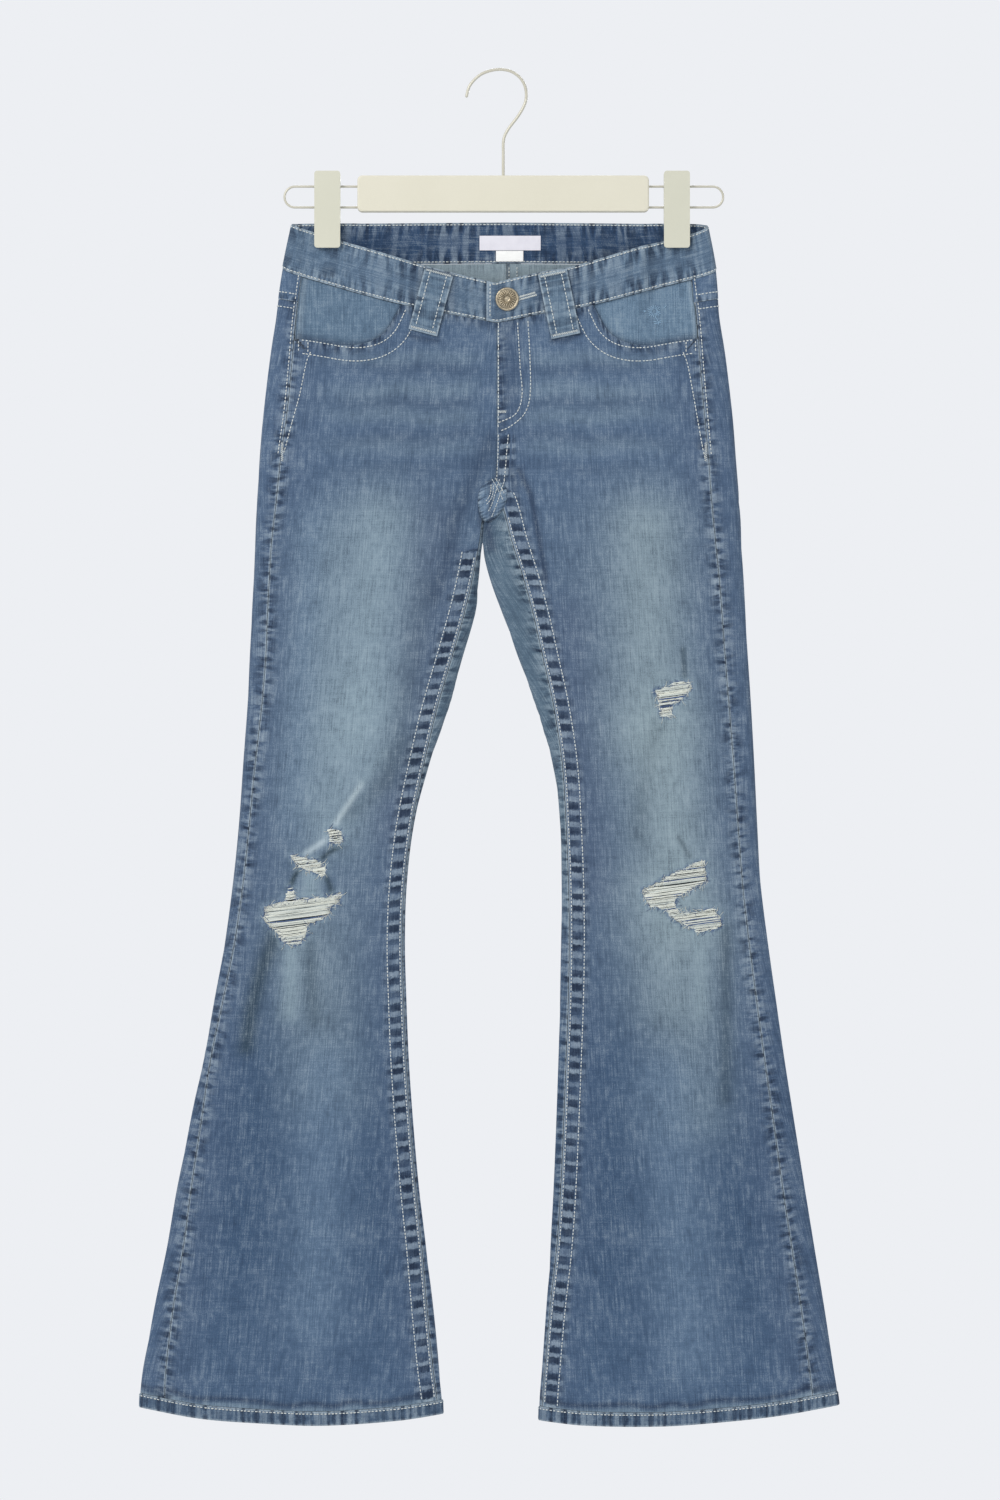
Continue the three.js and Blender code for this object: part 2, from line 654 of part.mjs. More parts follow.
function zipTape() {
  const offsetMiddle = -(CLOTH / 2 + LAY_GAP + LINING + ZIP.gap + LINING / 2);
  const at = (u, v, offset) => {
    const x = mix(ZIP.fromX, ZIP.toX, u);
    const side = sideOf(x, CENTRE_FRONT);
    const top = waistSeam(side, roundAt(side, x, WAIST_SEAM_FRONT)) + SEAM_GAP;
    return frontPoint(x, mix(top, ZIP.bottom, v), offset + offsetMiddle);
  };
  return shell(at, 4, 6, -LINING / 2, LINING / 2);
}

// A belt loop lies on the band and steps down on to the panel below it
function beltLoop(top, bottom, pointAt, bandBottom) {
  const length = Math.hypot(bottom.x - top.x, bottom.down - top.down);
  const slant = { x: (bottom.x - top.x) / length, down: (bottom.down - top.down) / length };
  const onBand = BAND / 2 + LAY_GAP + LOOP / 2;
  const at = (u, v, offset) => {
    const aside = (u - 0.5) * LOOP_WIDTH;
    const x = mix(top.x, bottom.x, v) + aside * slant.down;
    const down = mix(top.down, bottom.down, v) - aside * slant.x;
    const step = (BAND - CLOTH) / 2;
    const sunk = step * smooth(LOOP_STEP.from, LOOP_STEP.to, down - bandBottom(x));
    return pointAt(x, down, offset + onBand - sunk);
  };
  return shell(at, 3, 9, -LOOP / 2, LOOP / 2);
}

function frontLoop(loop) {
  const bandBottom = (x) => {
    const side = sideOf(x, CENTRE_FRONT);
    return waistSeam(side, roundAt(side, x, WAIST_SEAM_FRONT));
  };
  const top = { x: loop.topX, down: loop.topDown };
  return beltLoop(top, { x: loop.bottomX, down: loop.bottomDown }, frontPoint, bandBottom);
}

function backLoop(loop) {
  const bandBottom = (x) => {
    const side = sideOf(x, CENTRE_BACK);
    return waistSeam(side, roundAt(side, x, WAIST_SEAM_BACK, true));
  };
  const top = { x: loop.x, down: loop.top };
  return beltLoop(top, { x: loop.x, down: loop.bottom }, backPoint, bandBottom);
}

// A patch pocket with a pointed lower edge, lying on the back panel
function backPocket(side) {
  const { out, top, width, height, corner, lean } = BACK_POCKET;
  const offsetMiddle = CLOTH + LAY_GAP;
  const at = (u, v, offset) => {
    const aside = (u - 0.5) * width * mix(1, 0.94, v);
    const point = corner * (1 - Math.abs(2 * u - 1));
    const x = CENTRE_BACK + side.sign * (out + aside + lean * v);
    return backPoint(x, top + mix(0, height - corner + point, v), offset + offsetMiddle);
  };
  return shell(at, 8, 7, -CLOTH / 2, CLOTH / 2);
}

// A label lies on the inner face of the back band
function insideLabel(label) {
  const offsetMiddle = -(BAND / 2 + LAY_GAP + LABEL / 2);
  const at = (u, v, offset) => {
    const x = mix(label.fromX, label.toX, u);
    return backPoint(x, mix(label.top, label.bottom, v), offset + offsetMiddle);
  };
  return shell(at, 5, 1, -LABEL / 2, LABEL / 2);
}

function buttonGeometry() {
  const { radius, height } = BUTTON;
  const profile = [
    [0, 0],
    [radius - 0.9, 0],
    [radius, 0.8],
    [radius, 1.5],
    [radius - 0.7, 2.2],
    [radius - 2.2, 2.5],
    [radius * 0.5, height - 0.2],
    [0, height],
  ];
  const points = profile.map(([x, y]) => new THREE.Vector2(x, y));
  return new THREE.LatheGeometry(points, 32).rotateX(Math.PI);
}

function roundedPlate(width, height, corner, depth, bevel = 0) {
  const [w, h] = [width / 2 - bevel, height / 2 - bevel];
  const r = corner;
  const shape = new THREE.Shape();
  shape.moveTo(-w + r, -h);
  shape.lineTo(w - r, -h);
  shape.absarc(w - r, -h + r, r, -Math.PI / 2, 0);
  shape.lineTo(w, h - r);
  shape.absarc(w - r, h - r, r, 0, Math.PI / 2);
  shape.lineTo(-w + r, h);
  shape.absarc(-w + r, h - r, r, Math.PI / 2, Math.PI);
  shape.lineTo(-w, -h + r);
  shape.absarc(-w + r, -h + r, r, Math.PI, 1.5 * Math.PI);
  const settings = { depth: depth - 2 * bevel, curveSegments: 4, bevelEnabled: bevel > 0 };
  Object.assign(settings, { bevelThickness: bevel, bevelSize: bevel, bevelSegments: 2 });
  const geometry = new THREE.ExtrudeGeometry(shape, settings);
  geometry.translate(0, 0, bevel - depth / 2);
  return geometry.rotateX(Math.PI / 2);
}

function tube(points, radius, sides, steps) {
  const section = new THREE.Shape();
  const corners = Array.from({ length: sides }, (_, side) => {
    const angle = (2 * Math.PI * side) / sides;
    return new THREE.Vector2(radius * Math.cos(angle), radius * Math.sin(angle));
  });
  section.setFromPoints(corners);
  const path = new THREE.CatmullRomCurve3(points, false, "centripetal");
  return new THREE.ExtrudeGeometry(section, { steps, extrudePath: path, bevelEnabled: false });
}

// Booleans between mesh geometries
function toManifold(geometry) {
  const bare = geometry.clone();
  bare.deleteAttribute("normal");
  bare.deleteAttribute("uv");
  const merged = mergeVertices(bare, 1e-3);
  const mesh = new wasm.Mesh({
    numProp: 3,
    vertProperties: new Float32Array(merged.attributes.position.array),
    triVerts: new Uint32Array(merged.index.array),
  });
  return new wasm.Manifold(mesh);
}

function toGeometry(manifold) {
  const mesh = manifold.getMesh();
  const geometry = new THREE.BufferGeometry();
  geometry.setAttribute("position", new THREE.Float32BufferAttribute(mesh.vertProperties, 3));
  geometry.setIndex(Array.from(mesh.triVerts));
  return geometry;
}

function subtract(geometry, cutters) {
  let solid = toManifold(geometry);
  for (const cutter of cutters) solid = solid.subtract(toManifold(cutter));
  return toGeometry(solid);
}

// A prism through the front layer only, in the shape of a rip
function ripCutter(outline) {
  const reach = 30;
  const shape = new THREE.Shape(outline.map(([x, down]) => new THREE.Vector2(x, -down)));
  const prism = new THREE.ExtrudeGeometry(shape, { depth: reach, bevelEnabled: false });
  return prism.rotateX(Math.PI / 2);
}

function rod(radius, length, axis) {
  const geometry = new THREE.CylinderGeometry(radius, radius, length, 12);
  return axis === "x" ? geometry.rotateZ(Math.PI / 2) : geometry.rotateX(Math.PI / 2);
}

function bar() {
  const width = BAR.toX - BAR.fromX;
  const height = BAR.bottom - BAR.top;
  const middleDown = (BAR.top + BAR.bottom) / 2;
  const middleX = (BAR.fromX + BAR.toX) / 2;
  const plate = roundedPlate(width, height, BAR.corner, BAR.depth, BAR.bevel);
  const cutters = [];
  for (const end of [-1, 1]) {
    for (const wireDown of [WIRE.upper, WIRE.lower]) {
      const socket = rod(WIRE.hole, 2 * WIRE.socket, "x");
      cutters.push(socket.translate((end * width) / 2, 0, middleDown - wireDown));
    }
  }
  const socket = new THREE.CylinderGeometry(HOOK.hole, HOOK.hole, 2 * HOOK.socket, 12).rotateX(Math.PI / 2);
  const hookX = HOOK_LINE[HOOK_LINE.length - 1].x - middleX;
  cutters.push(socket.translate(hookX, 0, height / 2));
  return subtract(plate, cutters);
}

// One side's wire: out of the bar, round the end and back into it
function hangerWire(reach, barEnd) {
  const direction = Math.sign(reach);
  const bend = (WIRE.lower - WIRE.upper) / 2;
  const start = barEnd - direction * (WIRE.socket - 1);
  const turn = reach - direction * (bend + WIRE.radius);
  const points = [];
  const straight = [0, 0.25, 0.5, 0.75];
  for (const share of straight) points.push(new THREE.Vector3(mix(start, turn, share), 0, -WIRE.upper));
  for (let step = 0; step <= 8; step += 1) {
    const angle = (Math.PI * step) / 8;
    const x = turn + direction * bend * Math.sin(angle);
    points.push(new THREE.Vector3(x, 0, -WIRE.upper - bend + bend * Math.cos(angle)));
  }
  for (const share of straight) {
    points.push(new THREE.Vector3(mix(start, turn, 0.75 - share), 0, -WIRE.lower));
  }
  return tube(points, WIRE.radius, WIRE.sides, 26);
}

function hook() {
  const points = HOOK_LINE.map(({ x, down }) => new THREE.Vector3(x, 0, -down));
  const foot = HOOK_LINE[HOOK_LINE.length - 1].x;
  points.push(new THREE.Vector3(foot, 0, -(BAR.top + HOOK.socket - 1)));
  return tube(points, HOOK.radius, HOOK.sides, 40);
}

function clipPlate() {
  return roundedPlate(CLIP.width, CLIP.bottom - CLIP.top, CLIP.corner, CLIP.plate);
}

// The back plate carries the pivot block, bored for the two wires
function clipBack() {
  const centreDown = (CLIP.top + CLIP.bottom) / 2;
  const reach = 2 * CLIP.jaw - SEAM_GAP + 1;
  const blockY = CLIP.jaw + 1 - reach / 2 - (CLIP.jaw + CLIP.plate / 2);
  const block = new THREE.BoxGeometry(PIVOT.width, reach, PIVOT.bottom - PIVOT.top);
  block.translate(0, blockY, centreDown - (PIVOT.top + PIVOT.bottom) / 2);
  const joined = toManifold(clipPlate()).add(toManifold(block));
  const bores = [WIRE.upper, WIRE.lower].map((wireDown) => {
    const bore = rod(WIRE.hole, CLIP.width * 2, "x");
    return bore.translate(0, -(CLIP.jaw + CLIP.plate / 2), centreDown - wireDown);
  });
  let solid = joined;
  for (const bore of bores) solid = solid.subtract(toManifold(bore));
  return toGeometry(solid);
}

function part(name, geometry, finish) {
  const mesh = new THREE.Mesh(geometry, new THREE.MeshStandardMaterial(FINISH[finish]));
  mesh.name = name;
  return mesh;
}

const garment = new THREE.Group();
for (const [name, side] of Object.entries(SIDES)) {
  const ripped = subtract(frontPanel(side), RIPS[name].map(ripCutter));
  garment.add(part(`front_panel_${name}`, ripped, "denim"));
  garment.add(part(`back_panel_${name}`, backPanel(side), "denim"));
  garment.add(part(`back_yoke_${name}`, yoke(side), "denim"));
  garment.add(part(`pocket_facing_${name}`, pocketFacing(side), "denim"));
  garment.add(part(`back_pocket_${name}`, backPocket(side), "denim"));
  garment.add(part(`hem_${name}`, hem(side), "darkDenim"));
}
garment.add(part("waistband", waistband(), "denim"));
garment.add(part("fly_facing", flyFacing(), "denim"));
garment.add(part("zip", zipTape(), "tape"));
for (const loop of FRONT_LOOPS) garment.add(part(loop.name, frontLoop(loop), "denim"));
for (const loop of BACK_LOOPS) garment.add(part(loop.name, backLoop(loop), "denim"));
garment.add(part("waist_label", insideLabel(WAIST_LABEL), "label"));
garment.add(part("size_tab", insideLabel(SIZE_TAB), "tab"));

const button = part("button", buttonGeometry(), "button");
const buttonSeat = LAP_OFFSET + BAND / 2 + SEAM_GAP;
button.position.copy(frontPoint(BUTTON.x, BUTTON.down, buttonSeat));
garment.add(button);

const hanger = new THREE.Group();
const barMesh = part("hanger_bar", bar(), "plastic");
barMesh.position.set((BAR.fromX + BAR.toX) / 2, 0, -(BAR.top + BAR.bottom) / 2);
hanger.add(barMesh);
hanger.add(part("hanger_wire_right", hangerWire(WIRE_REACH.right, BAR.fromX), "steel"));
hanger.add(part("hanger_wire_left", hangerWire(WIRE_REACH.left, BAR.toX), "steel"));
hanger.add(part("hanger_hook", hook(), "steel"));
for (const name of ["right", "left"]) {
  const clip = new THREE.Group();
  clip.position.set(CLIP_CENTRE[name], 0, -(CLIP.top + CLIP.bottom) / 2);
  const frontPlate = part(`clip_front_${name}`, clipPlate(), "plastic");
  frontPlate.position.y = -(CLIP.jaw + CLIP.plate / 2);
  const backPlate = part(`clip_back_${name}`, clipBack(), "plastic");
  backPlate.position.y = CLIP.jaw + CLIP.plate / 2;
  clip.add(frontPlate, backPlate);
  hanger.add(clip);
}

const group = new THREE.Group();
group.add(garment, hanger);

export default group;
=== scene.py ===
import math

import bpy
import numpy as np
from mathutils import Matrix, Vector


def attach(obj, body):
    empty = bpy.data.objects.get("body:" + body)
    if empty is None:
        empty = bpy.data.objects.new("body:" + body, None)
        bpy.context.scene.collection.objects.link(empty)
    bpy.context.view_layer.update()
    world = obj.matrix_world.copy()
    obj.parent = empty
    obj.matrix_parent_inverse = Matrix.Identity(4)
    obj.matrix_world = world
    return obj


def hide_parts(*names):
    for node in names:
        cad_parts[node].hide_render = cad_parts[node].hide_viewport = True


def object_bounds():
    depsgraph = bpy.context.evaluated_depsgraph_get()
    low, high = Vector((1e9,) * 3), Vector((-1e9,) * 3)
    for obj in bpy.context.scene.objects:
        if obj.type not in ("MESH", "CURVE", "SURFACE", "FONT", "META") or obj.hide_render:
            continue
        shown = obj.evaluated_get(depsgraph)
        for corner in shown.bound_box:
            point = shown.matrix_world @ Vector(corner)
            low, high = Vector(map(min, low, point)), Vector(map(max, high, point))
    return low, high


# Flared jeans on a clip hanger. Shapes are worked out in millimetres, and meshes are written in metres.
# The front faces -Y and the wearer's right is on the -X side. "down" is the distance below the hook's top,
# and "turn" goes from the centre front or a leg's inner edge (0) round the outer side (0.5) to the back (1).
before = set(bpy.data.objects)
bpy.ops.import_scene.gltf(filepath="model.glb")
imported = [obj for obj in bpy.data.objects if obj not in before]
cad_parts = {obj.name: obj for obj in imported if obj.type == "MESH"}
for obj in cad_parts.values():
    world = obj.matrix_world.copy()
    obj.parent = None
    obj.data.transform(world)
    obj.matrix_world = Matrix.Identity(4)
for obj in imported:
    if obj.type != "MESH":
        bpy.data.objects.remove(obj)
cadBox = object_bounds()

garment = {
    "centreFront": -3.8,
    "centreBack": 4.2,
    "crotch": 356,
    "closingStart": 270,
    "legClearance": 0.3,
    "seamGap": 0.3,
    "layGap": 0.35,
    "cloth": 1.2,
    "band": 2.4,
    "hem": 2.6,
    "loop": 1.8,
    "lining": 1.0,
    "label": 0.8,
    "hemHeight": 12,
    "foldRoundness": 0.35,
    "pinched": 1.7,
    "pinchFlat": 17,
    "pinchEnd": 40,
    "pinchFade": (172, 250),
    "clipX": {"right": -148, "left": 149},
}
signOf = {"right": -1, "left": 1}

# down, front, back: half the distance between the layers
layerDepths = np.array([
    [125, 8, 6],
    [210, 8.5, 7],
    [300, 8.5, 8],
    [400, 7, 6.5],
    [560, 6, 5.5],
    [760, 5.2, 5],
    [960, 6, 5.5],
    [1155, 7.5, 7],
])

# down, outer, inner, outseam, inseam: x of each leg's edges and of its two seams on the front
legColumns = {"outer": 1, "inner": 2, "outseam": 3, "inseam": 4}
legRows = {
    "right": np.array([
        [125, -176.5, -3.8, -163, -3.8],
        [168, -185.4, -3.8, -169.6, -3.8],
        [210, -191.5, -3.8, -174.7, -3.8],
        [250, -196.9, -3.8, -178.1, -3.8],
        [290, -201.6, -3.8, -182, -3.8],
        [330, -205.2, -3.8, -187.6, -3.8],
        [356, -206.8, -4.75, -190.2, -4.75],
        [377, -207.8, -13.7, -192.5, -15.4],
        [400, -208.9, -16.5, -195.2, -19],
        [430, -210.3, -19.8, -197.1, -24.5],
        [460, -211.9, -22.6, -198.6, -31.5],
        [500, -213.7, -34, -200.3, -42.7],
        [540, -215.7, -44.9, -203.6, -54.4],
        [590, -219.1, -62.2, -209.3, -66.3],
        [640, -222.6, -74.8, -214.1, -76.6],
        [690, -227.7, -80.9, -219.4, -82.6],
        [740, -234.6, -82.4, -226.6, -84.6],
        [790, -243.5, -81.2, -236.6, -83.4],
        [840, -252.8, -79.3, -247, -81.4],
        [890, -263.4, -75.9, -254.6, -78.1],
        [950, -275.4, -70.6, -263.6, -73.1],
        [1000, -283.8, -64.2, -270.2, -67.9],
        [1050, -294.4, -58.4, -278.6, -63.6],
        [1100, -303.8, -53.4, -284.7, -58.7],
        [1130, -306.8, -50.9, -286.3, -55],
        [1155, -306.8, -50.2, -286.6, -54.2],
    ]),
    "left": np.array([
        [125, 173.2, -3.8, 156, -3.8],
        [168, 181.4, -3.8, 160.6, -3.8],
        [210, 185, -3.8, 165.6, -3.8],
        [250, 190.9, -3.8, 168.7, -3.8],
        [290, 195.8, -3.8, 172.1, -3.8],
        [330, 198.7, -3.8, 175.7, -3.8],
        [356, 200.8, -2.85, 177.6, -2.85],
        [377, 202.3, -13.2, 179.4, 3],
        [400, 203.7, -16, 181.7, 8.9],
        [430, 205.4, -9.8, 184.7, 18.3],
        [460, 207.2, 0.9, 187.1, 26.6],
        [500, 209.3, 15.4, 190, 35.6],
        [540, 211.6, 29.8, 193.2, 44.4],
        [590, 214.3, 44.2, 197.2, 51.8],
        [640, 216.8, 50.4, 200.8, 55],
        [690, 220, 51.4, 204.6, 57],
        [740, 226, 50.8, 210.2, 57.6],
        [790, 233, 49.8, 216.6, 56.8],
        [840, 240, 48.7, 223.4, 55],
        [890, 247.8, 47.2, 230.6, 53.1],
        [950, 257.4, 44.8, 238.9, 50.4],
        [1000, 265.4, 41.9, 246.5, 47],
        [1050, 273.6, 38.7, 254.3, 41.6],
        [1100, 281.2, 35.2, 261, 37.4],
        [1130, 285.8, 32.9, 264.5, 35.2],
        [1155, 286.4, 32.4, 265.2, 34.8],
    ]),
}

# turn, top and bottom of the waistband on the right, top and bottom on the left
waistColumns = {"right": (1, 2), "left": (3, 4)}
waistRows = np.array([
    [0, 181, 214.4, 180, 214.4],
    [0.067, 171.9, 207.1, 171, 206.4],
    [0.112, 165.6, 202.3, 166.8, 202.6],
    [0.16, 158.2, 196.8, 159.6, 197],
    [0.218, 150.4, 189.4, 151.4, 189.6],
    [0.275, 143.8, 182.6, 145.6, 183.2],
    [0.35, 137, 175.8, 139.9, 177.2],
    [0.45, 131.6, 169.8, 134.2, 171.8],
    [0.5, 130.2, 167.6, 131.8, 169.4],
    [0.6, 129.8, 165.8, 130.2, 166.4],
    [0.75, 129.4, 164.6, 129.6, 164.8],
    [1, 128.4, 163.2, 128.4, 163.2],
])

# share of the way across the leg, hem's lower edge on the right and on the left
hemColumns = {"right": 1, "left": 2}
hemRows = np.array([
    [0, 1141.2, 1146.7],
    [0.15, 1146.8, 1150.8],
    [0.4, 1150.9, 1151.6],
    [0.6, 1149, 1148.2],
    [0.8, 1145, 1142.6],
    [1, 1135.6, 1133.7],
])

# distance out from the centre front, down
mouthRows = np.array([
    [80, 196],
    [85, 207],
    [92, 220.5],
    [102.6, 229.4],
    [116.5, 233.4],
    [131.5, 233.4],
    [149, 230.4],
    [169, 227.4],
    [200, 225],
])

# leg, from x and down, to x and down, width, depth: soft troughs (or ridges, below 0) of the front
frontFolds = [
    ("right", -9, 312, -57, 447, 15, 2.2),
    ("right", -62, 452, -96, 560, 18, -1.4),
    ("right", -150, 600, -104, 648, 14, 1.4),
    ("right", -192, 735, -216, 800, 13, 2),
    ("right", -170, 748, -182, 800, 13, -1.6),
    ("left", 12, 330, 36, 440, 13, 2),
    ("left", 150, 440, 156, 512, 13, 1.8),
    ("left", 178, 735, 188, 850, 15, 2),
    ("right", -118, 596, -150, 664, 7, -0.8),
    ("right", -172, 676, -181, 697, 5, 1),
    ("right", -140, 658, -157, 673, 5, 1),
    ("left", 149, 640, 161, 672, 6, 1.1),
    ("left", 62, 470, 92, 600, 15, -1),
]

# the same for the hidden back: creases under the seat, behind the knees and down the flare
backFolds = [
    ("right", -26, 372, -98, 388, 9, 1.1),
    ("right", -38, 396, -116, 432, 12, 1.6),
    ("right", -96, 632, -192, 612, 9, 1.3),
    ("right", -206, 650, -118, 686, 10, 1.7),
    ("right", -196, 702, -132, 726, 10, -1.1),
    ("right", -150, 760, -192, 850, 15, 1.5),
    ("left", 24, 374, 92, 385, 9, 1.1),
    ("left", 30, 392, 108, 425, 12, 1.6),
    ("left", 92, 646, 178, 624, 9, 1.2),
    ("left", 202, 636, 116, 668, 10, 1.7),
    ("left", 188, 694, 122, 716, 10, -1.1),
    ("left", 146, 776, 186, 862, 15, 1.4),
]

yokeLine = {"side": 194, "centre": 224}
backPocketSize = {
    "out": 84, "top": 240, "width": 116, "height": 124, "corner": 22, "lean": 3, "narrowing": 0.94,
}


def mix(a, b, share):
    return a + (b - a) * share


def smooth(start, end, value):
    share = np.clip((value - start) / (end - start), 0, 1)
    return share * share * (3 - 2 * share)


# A bell curve: 1 at 0, and about a third at one width from it
def bell(value, width):
    return np.exp(-((value / width) ** 2))


# Cubic pieces through a table's rows: each row's slope is that of the line through its neighbours
def readRows(rows, column, at):
    keys, values = rows[:, 0], rows[:, column]
    last = len(keys) - 1
    before, after = np.maximum(np.arange(last + 1) - 1, 0), np.minimum(np.arange(last + 1) + 1, last)
    slope = (values[after] - values[before]) / (keys[after] - keys[before])
    low = np.clip(np.searchsorted(keys, at, side="left") - 1, 0, last - 1)
    span = keys[low + 1] - keys[low]
    s = np.clip((at - keys[low]) / span, 0, 1)
    level = mix(values[low], values[low + 1], s * s * (3 - 2 * s))
    return level + s * (1 - s) ** 2 * span * slope[low] + s * s * (s - 1) * span * slope[low + 1]


def closing(down):
    return smooth(garment["closingStart"], garment["crotch"], down)


def innerEdge(side, down):
    gap = mix(garment["seamGap"] / 2, garment["legClearance"], closing(down))
    hip = garment["centreFront"] + signOf[side] * gap
    return np.where(down >= garment["crotch"], readRows(legRows[side], legColumns["inner"], down), hip)


# x = inner edge + width of the leg times a share of the turn: a sine where the hips are one ring,
# a full cosine wave where each leg is a ring of its own
def across(side, turn, down):
    closed = closing(down)
    edge = innerEdge(side, down)
    width = readRows(legRows[side], legColumns["outer"], down) - edge
    angle = np.pi * turn
    share = mix(np.sin(angle), (1 - np.cos(2 * angle)) / 2, closed)
    behind = np.maximum(0, -np.cos(angle)) ** 2 * (1 - closed)
    return edge + width * share + (garment["centreBack"] - garment["centreFront"]) * behind


# Cosine over the length of itself and a share of the sine: flat layers with round folds
def squared(c, s):
    return c / np.hypot(c, garment["foldRoundness"] * s)


# Each fold is sine squared along its line times a bell curve across it
def foldDepth(folds, side, x, down):
    total = np.zeros(np.shape(x))
    for leg, fromX, fromDown, toX, toDown, width, depth in folds:
        if leg != side:
            continue
        runX, runDown = toX - fromX, toDown - fromDown
        length = math.hypot(runX, runDown)
        along = ((x - fromX) * runX + (down - fromDown) * runDown) / length**2
        aside = ((x - fromX) * runDown - (down - fromDown) * runX) / length
        total += depth * np.sin(np.pi * np.clip(along, 0, 1)) ** 2 * bell(aside, width)
    return total


def pinch(side, x, down):
    centre = garment["clipX"][side]
    room = np.abs(readRows(legRows[side], legColumns["outer"], down) - centre)
    aside = 1 - smooth(garment["pinchFlat"], np.minimum(garment["pinchEnd"], room), np.abs(x - centre))
    return aside * (1 - smooth(*garment["pinchFade"], down))


# The cloth's middle surface: across() gives x, the squared section times the layer's depth gives y
def middle(side, turn, down):
    turn, down = np.broadcast_arrays(np.asarray(turn, float), np.asarray(down, float))
    closed = closing(down)
    angle = np.pi * turn
    x = across(side, turn, down)
    openShape = squared(np.cos(angle), np.sin(angle))
    shutShape = squared(np.sin(2 * angle), np.cos(2 * angle))
    front = mix(openShape, shutShape, closed)
    depth = np.where(front > 0, readRows(layerDepths, 1, down), readRows(layerDepths, 2, down))
    y = mix(-depth * front, -np.sign(front) * garment["pinched"], pinch(side, x, down))
    y = y + foldDepth(frontFolds, side, x, down) * np.clip(front * 1.5, 0, 1)
    y = y - foldDepth(backFolds, side, x, down) * np.clip(-front * 1.5, 0, 1)
    return np.stack([x, y, -down], -1)


def unit(vectors):
    return vectors / np.maximum(np.linalg.norm(vectors, axis=-1, keepdims=True), 1e-12)


# The outward normal is the cross product of the surface's two slopes
def outward(side, turn, down):
    around = middle(side, turn + 0.002, down) - middle(side, turn - 0.002, down)
    along = middle(side, turn, down + 0.8) - middle(side, turn, down - 0.8)
    return unit(np.cross(around, along)) * -signOf[side]


def surface(side, turn, down, offset):
    return middle(side, turn, down) + outward(side, turn, down) * np.asarray(offset)[..., None]


# The turn at which the front or back layer passes an x, by halving the interval
def turnAt(side, x, down, back=False):
    x, down = np.broadcast_arrays(np.asarray(x, float), np.asarray(down, float))
    near, far = np.full(x.shape, 1.0 if back else 0.0), np.full(x.shape, 0.5)
    for _ in range(30):
        half = (near + far) / 2
        short = signOf[side] * (across(side, half, down) - x) < 0
        near, far = np.where(short, half, near), np.where(short, far, half)
    return (near + far) / 2


def nudge(side, turn, down, distance):
    ahead, behind = middle(side, turn + 0.002, down), middle(side, turn - 0.002, down)
    return turn + distance * 0.004 / np.linalg.norm(ahead - behind, axis=-1)


def seamTurn(side, name, down):
    found = turnAt(side, readRows(legRows[side], legColumns[name], down), down)
    return np.where(down <= garment["crotch"], 0, found) if name == "inseam" else found


def waistTop(side, turn):
    return readRows(waistRows, waistColumns[side][0], turn)


def waistSeam(side, turn):
    return readRows(waistRows, waistColumns[side][1], turn) + garment["seamGap"]


def hemEdge(side, turn):
    return readRows(hemRows, hemColumns[side], (1 - np.cos(2 * np.pi * turn)) / 2)


def mouth(x):
    out = np.abs(x - garment["centreFront"])
    return np.where(out < mouthRows[0, 0], 0, readRows(mouthRows, 1, out))


def frontTop(side, turn):
    seam = waistSeam(side, turn)
    return np.maximum(seam, mouth(across(side, turn, seam)))


def yokeSeam(turn):
    return mix(yokeLine["centre"], yokeLine["side"], np.sin(np.pi * turn))


def backTop(side, turn):
    return yokeSeam(turn) + garment["seamGap"]


# share of the rows above the crotch, and each panel's grid and cut
panelLook = {
    "hipShare": 0.155,
    "front": {"columns": 84, "rows": 400, "flat": (0.26, 0.94), "area": 0.157},
    "back": {"columns": 64, "rows": 300, "flat": (0.32, 0.95), "area": 0.208},
}


# Rows run evenly from a panel's top edge to the crotch, and from there to the hem
def rowDown(top, side, turn, v):
    share = panelLook["hipShare"]
    low = hemEdge(side, turn) - garment["hemHeight"] - garment["seamGap"]
    hip = mix(top(side, turn), garment["crotch"], np.minimum(v / share, 1))
    return np.where(v <= share, hip, mix(garment["crotch"], low, (v - share) / (1 - share)))


# Cumulative length of each row of points
def rowLengths(points):
    steps = np.linalg.norm(np.diff(points, axis=1), axis=-1)
    return np.concatenate([np.zeros((len(points), 1)), np.cumsum(steps, axis=1)], axis=1)


# A panel's grid: turns spread so that points are evenly apart along the cloth, rows as rowDown gives them
def panelGrid(side, back):
    look, top = panelLook["back" if back else "front"], backTop if back else frontTop
    v = np.linspace(0, 1, look["rows"] + 1)
    ends = []
    for name in ("inseam", "outseam"):
        turn = seamTurn(side, name, rowDown(top, side, 0.25, v))
        for _ in range(6):
            turn = seamTurn(side, name, rowDown(top, side, turn, v))
        ends.append((turn, rowDown(top, side, turn, v)))
    (inner, innerDown), (outer, outerDown) = ends
    half = garment["seamGap"] / 2
    gap = (half + 0.1) * smooth(garment["crotch"] - 30, garment["crotch"] - 5, innerDown)
    if back:
        start = nudge(side, outer, outerDown, half + 0.05)
        end = 1 + nudge(side, inner, innerDown, -gap)
    else:
        start = nudge(side, inner, innerDown, gap)
        end = nudge(side, outer, outerDown, -half - 0.05)
    guess = mix(start[:, None], end[:, None], np.linspace(0, 1, 241))
    lengths = rowLengths(middle(side, guess, rowDown(top, side, guess, v[:, None])))
    target = lengths[:, -1:] * np.linspace(0, 1, look["columns"] + 1)
    turn = np.stack([np.interp(t, known, line) for t, known, line in zip(target, lengths, guess)])
    return turn, rowDown(top, side, turn, v[:, None])


def columnLengths(points):
    return rowLengths(points.transpose(1, 0, 2)).T


print("surface ready")


